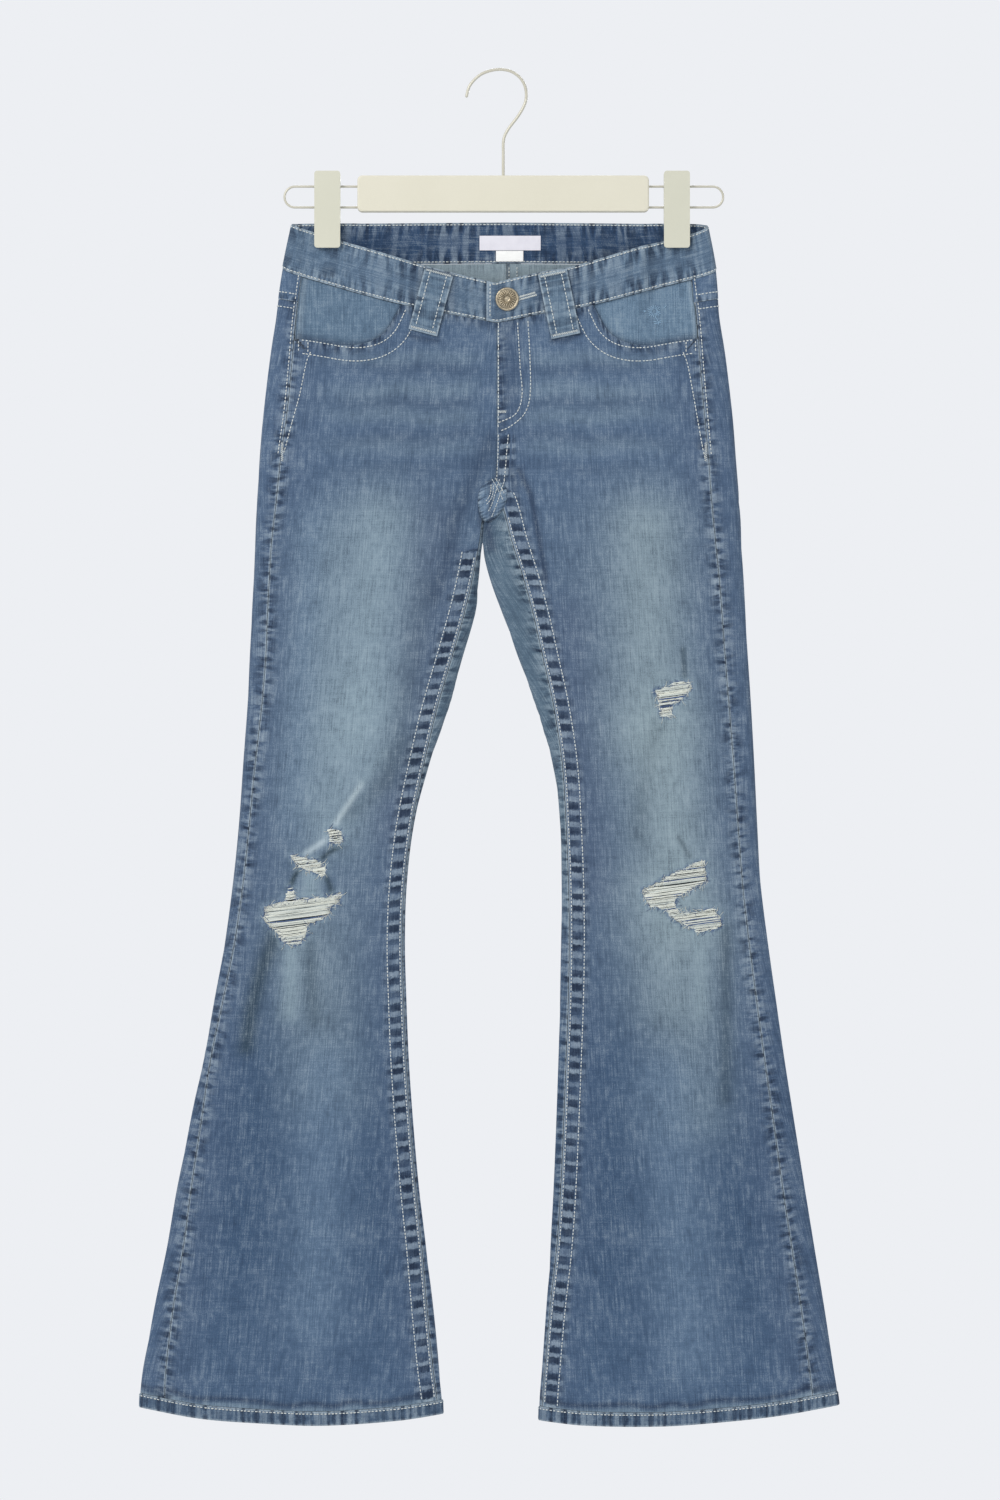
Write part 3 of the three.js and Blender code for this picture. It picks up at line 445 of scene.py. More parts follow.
# Quads of both layers of a grid, and a wall along every edge where its kept cells stop
def shellFaces(rows, width, keep=None, ring=False):
    cells = width if ring else width - 1
    keep = np.ones((rows - 1, cells), bool) if keep is None else keep
    index = np.arange(rows * width).reshape(rows, width)
    following = np.roll(index, -1, 1) if ring else index[:, 1:]
    layer = rows * width
    a, b = index[:-1, :cells], following[:-1, :cells]
    d, c = index[1:, :cells], following[1:, :cells]
    outer = np.stack([a, b, c, d], -1)[keep]
    inner = np.stack([a, d, c, b], -1)[keep] + layer
    tall = np.pad(keep, ((1, 1), (0, 0)))
    topOpen, lowOpen = keep & ~tall[:-2], keep & ~tall[2:]
    wide = np.pad(keep, ((0, 0), (1, 1)), mode="wrap") if ring else np.pad(keep, ((0, 0), (1, 1)))
    leftOpen, rightOpen = keep & ~wide[:, :-2], keep & ~wide[:, 2:]

    def wall(p, q, where):
        return np.stack([p[where], q[where], q[where] + layer, p[where] + layer], -1)

    walls = [wall(b, a, topOpen), wall(d, c, lowOpen), wall(a, d, leftOpen), wall(c, b, rightOpen)]
    return np.concatenate([outer, inner, *walls])


def placed(name, data):
    thing = bpy.data.objects.new(name, data)
    bpy.context.scene.collection.objects.link(thing)
    return thing


# Writes a mesh from whole arrays. Faces are turned over together if they point inward.
def meshPiece(name, points, faces, material, slot, fields=None, sharp=50):
    faceSets = [f for f in (faces if isinstance(faces, list) else [faces]) if len(f)]
    used = np.unique(np.concatenate([f.ravel() for f in faceSets]))
    renumber = np.zeros(len(points), int)
    renumber[used] = np.arange(len(used))
    faceSets = [renumber[f] for f in faceSets]
    points = points[used]
    volume = sum(
        np.einsum("ij,ij->", points[f[:, 0]], np.cross(points[f[:, k]], points[f[:, k + 1]]))
        for f in faceSets
        for k in range(1, f.shape[1] - 1)
    )
    if volume < 0:
        faceSets = [f[:, ::-1] for f in faceSets]
    corners = np.concatenate([f.ravel() for f in faceSets])
    sizes = np.concatenate([np.full(len(f), f.shape[1]) for f in faceSets])
    mesh = bpy.data.meshes.new(name)
    mesh.vertices.add(len(points))
    mesh.vertices.foreach_set("co", (points * 0.001).astype(np.float32).ravel())
    mesh.loops.add(len(corners))
    mesh.loops.foreach_set("vertex_index", corners.astype(np.int32))
    mesh.polygons.add(len(sizes))
    mesh.polygons.foreach_set("loop_start", (np.cumsum(sizes) - sizes).astype(np.int32))
    mesh.polygons.foreach_set("use_smooth", np.ones(len(sizes), bool))
    mesh.update(calc_edges=True)
    for key, values in (fields or {}).items():
        values = values[used]
        if key == "cloth":
            layer, part, values = mesh.uv_layers.new(name=key), "uv", values[corners] / 100
        elif key == "wash":
            layer, part = mesh.attributes.new(key, "FLOAT_COLOR", "POINT"), "color"
            values = np.concatenate([values, np.ones((len(values), 1))], 1)
        else:
            layer, part = mesh.attributes.new(key, "FLOAT_VECTOR", "POINT"), "vector"
        layer.data.foreach_set(part, values.astype(np.float32).ravel())
    mesh.validate()
    if sharp:
        mesh.set_sharp_from_angle(angle=math.radians(sharp))
    mesh.materials.append(material)
    piece = placed(name, mesh)
    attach(piece, "root")
    return piece


# Colours as the eye reads them, 0 to 255, turned to linear light
def linear(colour):
    share = np.asarray(colour, float) / 255
    return np.where(share <= 0.04045, share / 12.92, ((share + 0.055) / 1.055) ** 2.4)


# The dark hip colour is the darker wash between the hip bands and also painted shade: in creases, under the
# top seams, beside and under the loops, inside the pocket mouths, above the hems, over the fly and on the
# bunch. The crease colour is painted shade, and the ridge colour is a painted highlight along fold ridges.
palette = {
    "hip": (78, 100, 127),
    "darkIndigoAndShade": (44, 60, 84),
    "thigh": (84, 104, 127),
    "calf": (61, 84, 112),
    "low": (71, 94, 122),
    "side": (72, 92, 119),
    "violet": (72, 87, 113),
    "innerStrip": (82, 103, 119),
    "creaseShade": (44, 62, 74),
    "ridge": (186, 201, 208),
    "fringe": (48, 72, 116),
    "pale": (133, 153, 165),
    "paleGreen": (137, 155, 163),
    "stripe": (95, 118, 143),
    "wrongSide": (131, 147, 156),
    "bandInside": (47, 71, 102),
    "bandFront": (86, 108, 131),
    "facingRight": (88, 111, 133),
    "facingLeft": (98, 122, 144),
    "hem": (70, 91, 115),
    "loop": (90, 112, 133),
}

# down, then the cloth's colour along the middle of a leg
washRows = [
    (140, "hip"), (330, "hip"), (430, "thigh"), (720, "thigh"), (850, "calf"), (980, "calf"), (1155, "low"),
]

# leg, from x and down, to x and down, width, colour, amount: soft streaks of wear on the front, and thin
# painted highlights along fold ridges (the ridge colour)
frontWearAndRidgeHighlights = [
    ("right", -60, 380, -96, 640, 22, "violet", 0.5),
    ("right", -104, 385, -122, 560, 34, "pale", 0.72),
    ("right", -120, 540, -140, 640, 30, "pale", 0.62),
    ("right", -148, 400, -166, 620, 26, "pale", 0.34),
    ("right", -119, 606, -141, 640, 2.6, "ridge", 0.6),
    ("right", -100, 580, -119, 606, 5, "pale", 0.4),
    ("right", -144, 650, -166, 665, 2.8, "ridge", 0.6),
    ("right", -160, 380, -178, 640, 14, "stripe", 0.35),
    ("right", -162, 678, -162, 702, 9, "pale", 0.75),
    ("right", -178, 742, -180, 800, 9, "pale", 0.6),
    ("right", -160, 740, -150, 860, 34, "paleGreen", 0.34),
    ("right", -150, 850, -158, 1060, 28, "stripe", 0.6),
    ("left", 60, 470, 76, 690, 24, "violet", 0.4),
    ("left", 122, 390, 128, 560, 36, "paleGreen", 0.68),
    ("left", 134, 560, 152, 720, 34, "paleGreen", 0.78),
    ("left", 128, 700, 140, 790, 30, "paleGreen", 0.4),
    ("left", 168, 732, 170, 800, 7, "pale", 0.5),
    ("left", 165, 740, 160, 880, 34, "paleGreen", 0.4),
    ("left", 140, 860, 160, 1090, 30, "stripe", 0.6),
]


# A streak is a bell curve of the distance from its line
def streakShare(x, down, fromX, fromDown, toX, toDown, width):
    runX, runDown = toX - fromX, toDown - fromDown
    along = np.clip(((x - fromX) * runX + (down - fromDown) * runDown) / (runX**2 + runDown**2), 0, 1)
    distance = np.hypot(x - fromX - along * runX, down - fromDown - along * runDown)
    return bell(distance, width)


def washAlong(down):
    keys = [row[0] for row in washRows]
    colours = np.stack([linear(palette[row[1]]) for row in washRows])
    return np.stack([np.interp(down, keys, colours[:, k]) for k in range(3)], -1)


def blendTo(colour, name, amount):
    return mix(colour, linear(palette[name]), np.asarray(amount)[..., None])


# down, slant per mm out from the centre, width, amount: level bands of wear across the hips (dark above 0)
hipBands = [
    (243, 0.02, 6, -0.25), (255, -0.03, 6, 0.22), (270, 0.03, 8, -0.3), (283, 0.0, 6, 0.24),
    (296, -0.03, 7, -0.28), (309, 0.04, 6, 0.24), (322, -0.02, 7, -0.2), (334, 0.05, 6, 0.16),
]

# leg, corners x and down, width, colour, amount: painted shade in the front's creases, in the slits between
# the rips and under the belt loops, each as strong as its nearest part
frontCreaseShade = [
    ("left", [(14.9, 339), (25.1, 361), (32.7, 403), (37.8, 433)], 2.4, "darkIndigoAndShade", 0.9),
    ("left", [(133, 556), (120, 605), (117, 650)], 9, "creaseShade", 0.22),
    ("left", [(154, 492), (155.5, 516)], 2.6, "creaseShade", 0.6),
    ("left", [(150, 651), (160, 668)], 1.8, "creaseShade", 0.6),
    ("left", [(190, 730), (191, 800), (190, 874)], 6, "creaseShade", 0.42),
    ("left", [(2, 330), (12, 352)], 5, "darkIndigoAndShade", 0.5),
    ("left", [(43, 229.5), (56, 229), (67, 223.5)], 2.6, "darkIndigoAndShade", 0.75),
    ("right", [(-78, 225), (-66, 228.5), (-54, 229.5)], 2.6, "darkIndigoAndShade", 0.7),
    ("right", [(-66, 440), (-78, 520), (-97, 602)], 13, "creaseShade", 0.17),
    ("right", [(-80, 240), (-75, 330)], 70, "darkIndigoAndShade", 0.12),
    ("right", [(-9.8, 314.5), (-40.4, 386), (-44.6, 415.6), (-57.4, 446)], 8, "darkIndigoAndShade", 0.42),
    ("right", [(-16, 362), (-17, 384)], 3, "darkIndigoAndShade", 0.7),
    ("right", [(-81, 570), (-97, 602), (-128, 632)], 9, "creaseShade", 0.26),
    ("right", [(-137, 659), (-146, 664), (-157, 673)], 2.2, "creaseShade", 0.95),
    ("right", [(-171, 676), (-176, 685), (-180.5, 696)], 2.4, "creaseShade", 1.0),
    ("right", [(-150, 683), (-146, 692), (-144, 700)], 2.4, "creaseShade", 0.9),
    ("right", [(-192, 732), (-204, 765), (-213, 800), (-217, 830)], 7.5, "creaseShade", 0.72),
    ("right", [(-163, 744), (-162, 770), (-159, 806)], 6, "creaseShade", 0.32),
]


# Darkens the cloth along each crease's line: painted shade
def paintCreaseShade(colour, creases, side, x, down):
    for leg, corners, width, name, amount in creases:
        if leg == side:
            shares = [streakShare(x, down, *a, *b, width) for a, b in zip(corners[:-1], corners[1:])]
            colour = blendTo(colour, name, amount * np.max(shares, axis=0))
    return colour


# the same painted crease shade on the back panels, which also show in front beside each inseam
backCreaseShade = [
    ("left", [(-12, 378), (-11, 392), (-9, 406)], 4.5, "darkIndigoAndShade", 0.85),
    ("right", [(-14, 372), (-16, 396)], 3, "darkIndigoAndShade", 0.5),
    ("right", [(-206, 650), (-160, 666), (-118, 686)], 6, "darkIndigoAndShade", 0.3),
    ("right", [(-96, 632), (-150, 624), (-192, 612)], 5, "darkIndigoAndShade", 0.24),
    ("right", [(-38, 396), (-80, 412), (-116, 432)], 6, "darkIndigoAndShade", 0.26),
    ("left", [(202, 636), (158, 650), (116, 668)], 6, "darkIndigoAndShade", 0.3),
    ("left", [(92, 646), (140, 637), (178, 624)], 5, "darkIndigoAndShade", 0.24),
    ("left", [(30, 392), (72, 406), (108, 425)], 6, "darkIndigoAndShade", 0.26),
]


def frontWash(side, x, down, toInseam, toOutseam):
    colour = washAlong(down)
    out = np.abs(x - garment["centreFront"])
    spread = smooth(6, 30, out) * (1 - 0.75 * smooth(90, 175, out))
    for level, slant, width, amount in hipBands:
        wavy = down - level - slant * out - 1.5 * np.sin(x / 11 + level)
        tone = "darkIndigoAndShade" if amount > 0 else "pale"
        colour = blendTo(colour, tone, abs(amount) * spread * bell(wavy, width))
    colour = blendTo(colour, "side", 0.7 * (1 - smooth(5, 45, np.minimum(toInseam, toOutseam))))
    for leg, *line, name, amount in frontWearAndRidgeHighlights:
        if leg == side:
            colour = blendTo(colour, name, amount * streakShare(x, down, *line))
    colour = paintCreaseShade(colour, frontCreaseShade, side, x, down)
    if side == "left":
        # A darker strip over the fly: painted shade
        fly = smooth(-4, -1, x) * (1 - smooth(12, 20, x)) * (1 - smooth(292, 304, down))
        colour = blendTo(colour, "darkIndigoAndShade", 0.22 * fly)
    return colour


# down, reach, amount: pale wear along the middle of a back panel
backWear = [(480, 120, 0.55), (300, 60, 0.4)]


def backWash(side, x, down, toInseam, toOutseam):
    colour = washAlong(down)
    middleX = (innerEdge(side, down) + readRows(legRows[side], legColumns["outer"], down)) / 2
    worn = bell(x - middleX, 45)
    for level, reach, amount in backWear:
        colour = blendTo(colour, "pale", amount * worn * bell(down - level, reach))
    colour = blendTo(colour, "side", 0.7 * (1 - smooth(5, 45, toOutseam)))
    strip = (1 - smooth(15, 50, toInseam)) * (1 - smooth(640, 760, down))
    colour = blendTo(colour, "innerStrip", 0.75 * strip)
    return paintCreaseShade(colour, backCreaseShade, side, x, down)


# Shader building: values may be sockets or numbers
def put(tree, kind, values=(), **settings):
    node = tree.nodes.new(kind)
    for key, value in settings.items():
        setattr(node, key, value)
    for socket, value in dict(values).items():
        target = node.inputs[socket]
        if isinstance(value, bpy.types.NodeSocket):
            tree.links.new(value, target)
        else:
            target.default_value = value
    return node


def calc(tree, operation, *values, clamp=False):
    node = put(tree, "ShaderNodeMath", dict(enumerate(values)), operation=operation, use_clamp=clamp)
    return node.outputs[0]


def ramp(tree, value, start, end, low=0.0, high=1.0):
    values = {"Value": value, "From Min": start, "From Max": end, "To Min": low, "To Max": high}
    return put(tree, "ShaderNodeMapRange", values, interpolation_type="SMOOTHSTEP").outputs[0]


def mixColour(tree, share, a, b):
    return put(tree, "ShaderNodeMix", {0: share, 6: a, 7: b}, data_type="RGBA").outputs[2]


def vector(tree, x, y, z=0.0):
    return put(tree, "ShaderNodeCombineXYZ", {"X": x, "Y": y, "Z": z}).outputs[0]


def noise(tree, where, scale, detail=2.0, roughness=0.5):
    values = {"Vector": where, "Scale": scale, "Detail": detail, "Roughness": roughness}
    return put(tree, "ShaderNodeTexNoise", values).outputs[0]


def newGroup(name, inputs, outputs):
    tree = bpy.data.node_groups.new(name, "ShaderNodeTree")
    for label, kind, value in inputs:
        socket = tree.interface.new_socket(label, in_out="INPUT", socket_type=kind)
        if value is not None:
            socket.default_value = value
    for label, kind in outputs:
        tree.interface.new_socket(label, in_out="OUTPUT", socket_type=kind)
    return tree, tree.nodes.new("NodeGroupInput").outputs, tree.nodes.new("NodeGroupOutput").inputs


def rgba(colour):
    return (*linear(colour), 1.0)


denimLook = {
    "slub": 1.25,
    "cross": 0.5,
    "mottle": 0.72,
    "blotch": 0.8,
    "speckle": 1.15,
    "twillPitch": 1.1,
    "paleThread": (186, 200, 208),
    "darkDye": (27, 41, 62),
    "bandPitch": 11.0,
    "puckerPitch": 8.5,
    "seamDark": 0.88,
    "seamPale": 0.4,
}


# Twill weave: diagonal ribs, lengthwise slubs and fine specks, read from the cloth's own UV in millimetres.
# Seam: puckers beside a plain seam (kind 0), dark squares between the rows of a felled seam (kind 1).
def buildDenimGroup():
    look = denimLook
    tree, given, out = newGroup(
        "washedTwill",
        [
            ("Wash", "NodeSocketColor", (0.1, 0.2, 0.3, 1)),
            ("Cloth", "NodeSocketVector", None),
            ("Edge", "NodeSocketVector", None),
        ],
        [("Color", "NodeSocketColor"), ("Height", "NodeSocketFloat"), ("Roughness", "NodeSocketFloat")],
    )
    place = put(tree, "ShaderNodeSeparateXYZ", {0: given["Cloth"]}).outputs
    s, t = calc(tree, "MULTIPLY", place[0], 100), calc(tree, "MULTIPLY", place[1], 100)
    edge = put(tree, "ShaderNodeSeparateXYZ", {0: given["Edge"]}).outputs
    away, along, kind = edge[0], edge[1], edge[2]

    def stretched(across, lengthwise, shift, detail, roughness):
        where = vector(tree, calc(tree, "MULTIPLY", s, across), calc(tree, "MULTIPLY", t, lengthwise), shift)
        return noise(tree, where, 1.0, detail, roughness)

    def centred(value, amount, onto):
        return calc(tree, "MULTIPLY_ADD", calc(tree, "SUBTRACT", value, 0.5), amount, onto)

    slubFine = stretched(0.95, 0.035, 0.0, 3.0, 0.62)
    slubCross = stretched(0.035, 0.8, 5.0, 3.0, 0.6)
    mottle = stretched(0.045, 0.028, 9.0, 4.0, 0.6)
    blotch = stretched(0.2, 0.13, 21.0, 3.0, 0.62)
    speck = stretched(1.3, 1.0, 3.0, 2.0, 0.7)
    phase = calc(tree, "ADD", s, calc(tree, "MULTIPLY", t, 0.75))
    twill = calc(tree, "SINE", calc(tree, "MULTIPLY", phase, 2 * math.pi / look["twillPitch"]))
    tone = calc(tree, "MULTIPLY", twill, 0.04)
    for value, key in (
        (slubFine, "slub"), (slubCross, "cross"), (mottle, "mottle"), (blotch, "blotch"), (speck, "speckle"),
    ):
        tone = centred(value, look[key], tone)

    # plain seam: uneven puckers beside it, and a pale rubbed ridge along its very edge
    def alongSeam(frequency, across, shift, detail=2.0):
        lengthwise = calc(tree, "MULTIPLY", along, frequency)
        return noise(tree, vector(tree, lengthwise, calc(tree, "MULTIPLY", away, across), shift), 1.0, detail)

    pucker = ramp(tree, alongSeam(1.6 / look["puckerPitch"], 0.06, 2.0), 0.36, 0.64, -1.0, 1.0)
    reach = ramp(tree, away, 12.5, 0.5)
    patchy = ramp(tree, alongSeam(0.03, 0.0, 7.0), 0.35, 0.62, 0.45, 1.0)
    plain = calc(tree, "MULTIPLY", calc(tree, "MULTIPLY", pucker, reach), patchy)

    # felled seam: dark squares between its two rows, pale bars between them and ticks past the outer row
    jitter = alongSeam(0.07, 0.0, 1.0)
    turns = calc(tree, "MULTIPLY", along, 2 * math.pi / look["bandPitch"])
    turns = calc(tree, "MULTIPLY_ADD", jitter, 6.0, turns)
    wave = calc(tree, "MULTIPLY_ADD", alongSeam(0.5, 0.42, 4.0, 4.0), 2.6, calc(tree, "SINE", turns))
    square = ramp(tree, wave, 0.7, 1.8, 1.0, -1.0)
    fading = ramp(tree, alongSeam(0.06, 0.03, 12.0), 0.32, 0.6, 0.3, 1.0)
    within = calc(tree, "MULTIPLY", ramp(tree, away, 2.0, 3.4), ramp(tree, away, 12.2, 10.8))
    ticks = calc(tree, "MULTIPLY", ramp(tree, away, 12.4, 13.6), ramp(tree, away, 19.5, 14.0))
    felled = calc(tree, "MULTIPLY", square, calc(tree, "MULTIPLY_ADD", ticks, 0.5, within))
    felled = calc(tree, "MULTIPLY", felled, fading)
    plainPart = calc(tree, "MULTIPLY", plain, calc(tree, "SUBTRACT", 1.0, kind))
    seam = calc(tree, "MULTIPLY_ADD", felled, kind, plainPart)
    ridge = calc(tree, "MULTIPLY", ramp(tree, away, 1.4, 0.5), 0.55)

    pale = calc(tree, "MAXIMUM", calc(tree, "MULTIPLY", seam, look["seamPale"]), ridge)
    pale = calc(tree, "ADD", calc(tree, "MULTIPLY", calc(tree, "MAXIMUM", tone, 0.0), 0.85), pale, clamp=True)
    dark = calc(tree, "MULTIPLY", calc(tree, "MINIMUM", seam, 0.0), -look["seamDark"])
    dark = calc(tree, "MULTIPLY_ADD", calc(tree, "MINIMUM", tone, 0.0), -1.1, dark, clamp=True)
    lighter = mixColour(tree, calc(tree, "MULTIPLY", pale, 0.7), given["Wash"], rgba(look["paleThread"]))
    tree.links.new(mixColour(tree, dark, lighter, rgba(look["darkDye"])), out["Color"])
    height = calc(tree, "MULTIPLY_ADD", twill, 0.05, calc(tree, "MULTIPLY", speck, 0.15))
    height = calc(tree, "MULTIPLY_ADD", slubFine, 0.2, height)
    height = calc(tree, "MULTIPLY_ADD", seam, 0.6, height)
    tree.links.new(height, out["Height"])
    tree.links.new(ramp(tree, speck, 0.2, 0.8, 0.78, 0.95), out["Roughness"])
    return tree


denimGroup = buildDenimGroup()


def newMaterial(name):
    material = bpy.data.materials.new(name)
    material.use_nodes = True
    tree = material.node_tree
    tree.nodes.clear()
    shader = tree.nodes.new("ShaderNodeBsdfPrincipled")
    output = tree.nodes.new("ShaderNodeOutputMaterial")
    tree.links.new(shader.outputs[0], output.inputs["Surface"])
    return material, tree, shader


def attribute(tree, name, output="Vector"):
    return put(tree, "ShaderNodeAttribute", attribute_name=name).outputs[output]


def bumped(tree, shader, height, distance=0.001, strength=1.0):
    node = put(tree, "ShaderNodeBump", {"Height": height, "Distance": distance, "Strength": strength})
    tree.links.new(node.outputs[0], shader.inputs["Normal"])


# Colour between two by a share, roughness from a grain, and a bump; fixed values go on the sockets
def finishShader(tree, shader, share, dark, light, grain, roughness, height, distance, fixed):
    tree.links.new(mixColour(tree, share, dark, light), shader.inputs["Base Color"])
    tree.links.new(ramp(tree, grain, 0.3, 0.7, *roughness), shader.inputs["Roughness"])
    bumped(tree, shader, height, distance)
    for key, value in fixed.items():
        shader.inputs[key].default_value = value


def objectPlace(tree):
    return put(tree, "ShaderNodeTexCoord").outputs["Object"]


def denimMaterial(name):
    material, tree, shader = newMaterial(name)
    cloth = put(tree, "ShaderNodeUVMap", uv_map="cloth").outputs[0]
    values = {"Wash": attribute(tree, "wash", "Color"), "Cloth": cloth, "Edge": attribute(tree, "edge")}
    twill = put(tree, "ShaderNodeGroup", node_tree=denimGroup)
    for key, value in values.items():
        tree.links.new(value, twill.inputs[key])
    tree.links.new(twill.outputs["Color"], shader.inputs["Base Color"])
    tree.links.new(twill.outputs["Roughness"], shader.inputs["Roughness"])
    bumped(tree, shader, twill.outputs["Height"])
    shader.inputs["Sheen Weight"].default_value = 0.08
    shader.inputs["Specular IOR Level"].default_value = 0.2
    return material


denim = denimMaterial("washed denim")
print("materials ready")


# x of the grain line at down 300 and at the hem
grainLine = {"right": (-105, -180), "left": (105, 160)}

# x and down of each rip's corners
ripCorners = {
    "right": [
        [(-146.7, 644.6), (-135.9, 646), (-134.6, 654.2), (-138.6, 656.9), (-145.4, 655.5)],
        [
            (-178.9, 666.4), (-167, 669), (-155.1, 671.5), (-149.4, 678.3), (-150.9, 684), (-163, 680),
            (-172.5, 676.6),
        ],
        [
            (-184, 705.5), (-179.3, 692.8), (-175.2, 703.8), (-149.4, 703), (-135.9, 698.7), (-137.3, 705.5),
            (-145.4, 711), (-145.4, 716.6), (-164.5, 725.9), (-165.8, 732.7), (-171.3, 742.1),
            (-183.3, 742.1), (-195.5, 728.5), (-201.6, 721.7), (-201.6, 711),
        ],
    ],
    "left": [
        [
            (130.5, 526.2), (143.2, 524.5), (146.6, 519.4), (160.7, 520.2), (162.5, 524.5), (153.4, 533.8),
            (144.1, 538.9), (144.1, 547.8), (136.4, 548.7), (134.7, 542.3),
        ],
        [
            (119.1, 697), (146.6, 681.7), (171.3, 670.1), (174.7, 688.5), (153.8, 699.6), (146.9, 703.8),
            (148.6, 714), (153.8, 717), (179.8, 711.8), (186.6, 719.6), (186.6, 726.5), (167.9, 731.9),
            (146.9, 721.3), (139.8, 712.6), (124.4, 708.9),
        ],
    ],
}
ripLook = {
    "step": 1.3, "rough": 0.55, "paleReach": 3.2, "fringeReach": 1.2,
    "spacing": 0.75, "radius": 0.47, "slope": 0.13, "loose": 0.4, "steps": 10,
    "colour": (246, 248, 236), "shade": (206, 216, 214), "blue": (74, 100, 146), "blueShare": 0.08,
    "frayLength": (1.5, 6), "frayRadius": 0.24, "frayBlueShare": 0.4,
}
random = np.random.default_rng(7)


# Distance walked from a line's first point to each of its points
def lineLength(points):
    return np.concatenate([[0], np.cumsum(np.linalg.norm(np.diff(points, axis=0), axis=1))])


# The outline walked in even steps, each point pushed in or out a little
def raggedOutline(corners):
    loop = np.array(corners + corners[:1], float)
    length = lineLength(loop)
    at = np.arange(0, length[-1], ripLook["step"])
    line = np.stack([np.interp(at, length, loop[:, k]) for k in (0, 1)], -1)
    return line + random.normal(0, ripLook["rough"], line.shape)


# A point is inside when a line from it crosses the outline an odd number of times
def insideOutline(x, down, outline):
    ahead = np.roll(outline, -1, 0)
    inside = np.zeros(np.shape(x), bool)
    for (x0, d0), (x1, d1) in zip(outline, ahead):
        if d0 == d1:
            continue
        crosses = (d0 > down) != (d1 > down)
        inside ^= crosses & (x < x0 + (down - d0) / (d1 - d0) * (x1 - x0))
    return inside


rips = {side: [raggedOutline(corners) for corners in ripCorners[side]] for side in ripCorners}
panels = {}


# Distance square to a seam at one end of the rows, which slants across them
def squareTo(base, distance, column):
    run, rise = np.gradient(base[:, column, 0]), np.gradient(base[:, column, 2])
    return distance * (np.abs(rise) / np.maximum(np.hypot(run, rise), 1e-9))[:, None]


# Level distance from the grain line, round the leg
def grainDistance(side, base, down, back):
    level = rowLengths(base * [1, 1, 0])
    off = signOf[side] * (base[..., 0] - mix(*grainLine[side], (down - 300) / 855))
    if back:
        level, off = level[:, ::-1], off[:, ::-1]
    tip = np.argmax(off, axis=1)
    at = [np.interp(0, row[: last + 1], run[: last + 1]) for row, run, last in zip(off, level, tip)]
    distance = level - np.array(at)[:, None]
    return distance[:, ::-1] if back else distance


# The fly's lap stands over the right front: a bell curve of the distance from its edge
def flyLift(x, down):
    return 0.9 * bell(x - garment["centreFront"], 7) * (1 - smooth(298, 312, down))


# Sizes in millimetres: the felled seam's width and rise, the puckers' pitch and heights, where rows start
reliefLook = {
    "seamWidth": 13.2, "seamRise": 0.45, "seamStart": 398, "flySeamStart": 306,
    "puckerPitch": 9.6, "outPucker": 0.22, "inPucker": 0.18, "mouthRise": 0.35, "unseen": 100,
}


# A felled seam is a flat step beside the inseam; puckers are sines of the way along a seam times a bell curve
def panelRelief(back, isFly, x, down, felled, toInseam, toOutseam, inAlong, outAlong, fromTop):
    look = reliefLook
    wave = 2 * np.pi / look["puckerPitch"]
    step = 1 - smooth(look["seamWidth"], look["seamWidth"] + 1.4, toInseam)
    relief = look["seamRise"] * felled * step * smooth(0, 1.2, toInseam)
    relief += look["outPucker"] * np.sin(outAlong * wave + 1.5 * np.sin(outAlong / 31)) * bell(toOutseam, 6)
    relief += look["inPucker"] * np.sin(inAlong * wave + np.sin(inAlong / 23)) * bell(toInseam - 15, 4)
    if isFly:
        relief += flyLift(x, down)
    if not back:
        relief += look["mouthRise"] * bell(fromTop, 3.5) * smooth(60, 90, np.abs(x))
    return relief


# colour, distance from the turned hem, width, amount: a painted shadow line above the hem's fold, and a pale
# line at the hem's top edge
hemShadeAndPaleLine = [("darkIndigoAndShade", 5.6, 2.4, 0.85), ("pale", 0, 2.2, 0.5)]


# Shade over the hem's fold and under the top seam, and on the front rubbed cloth with blue tufts by the rips
def panelWash(side, back, base, down, toInseam, toOutseam, fromTop):
    x = base[..., 0]
    wash = (backWash if back else frontWash)(side, x, down, toInseam, toOutseam)
    toHem = fromTop[-1:] - fromTop + 1.3 * np.sin(x / 8.3 + 1.7 * np.sin(x / 23))
    for tone, distance, width, amount in hemShadeAndPaleLine:
        wash = blendTo(wash, tone, amount * bell(toHem - distance, width))
    wash = blendTo(wash, "darkIndigoAndShade", 0.3 * bell(fromTop, 8))
    if back:
        return wash
    flat = np.stack([x, -base[..., 2]], -1)
    gap = np.full(down.shape, 99.0)
    for spot in np.concatenate(rips[side])[::2]:
        gap = np.minimum(gap, np.linalg.norm(flat - spot, axis=-1))
    wash = blendTo(wash, "pale", 0.75 * bell(gap, ripLook["paleReach"]))
    tufts = 0.5 + 0.5 * np.sin(1.9 * x + 0.7 * down) * np.sin(1.3 * down - 0.5 * x)
    return blendTo(wash, "fringe", 0.9 * tufts * bell(gap - ripLook["fringeReach"], 1))


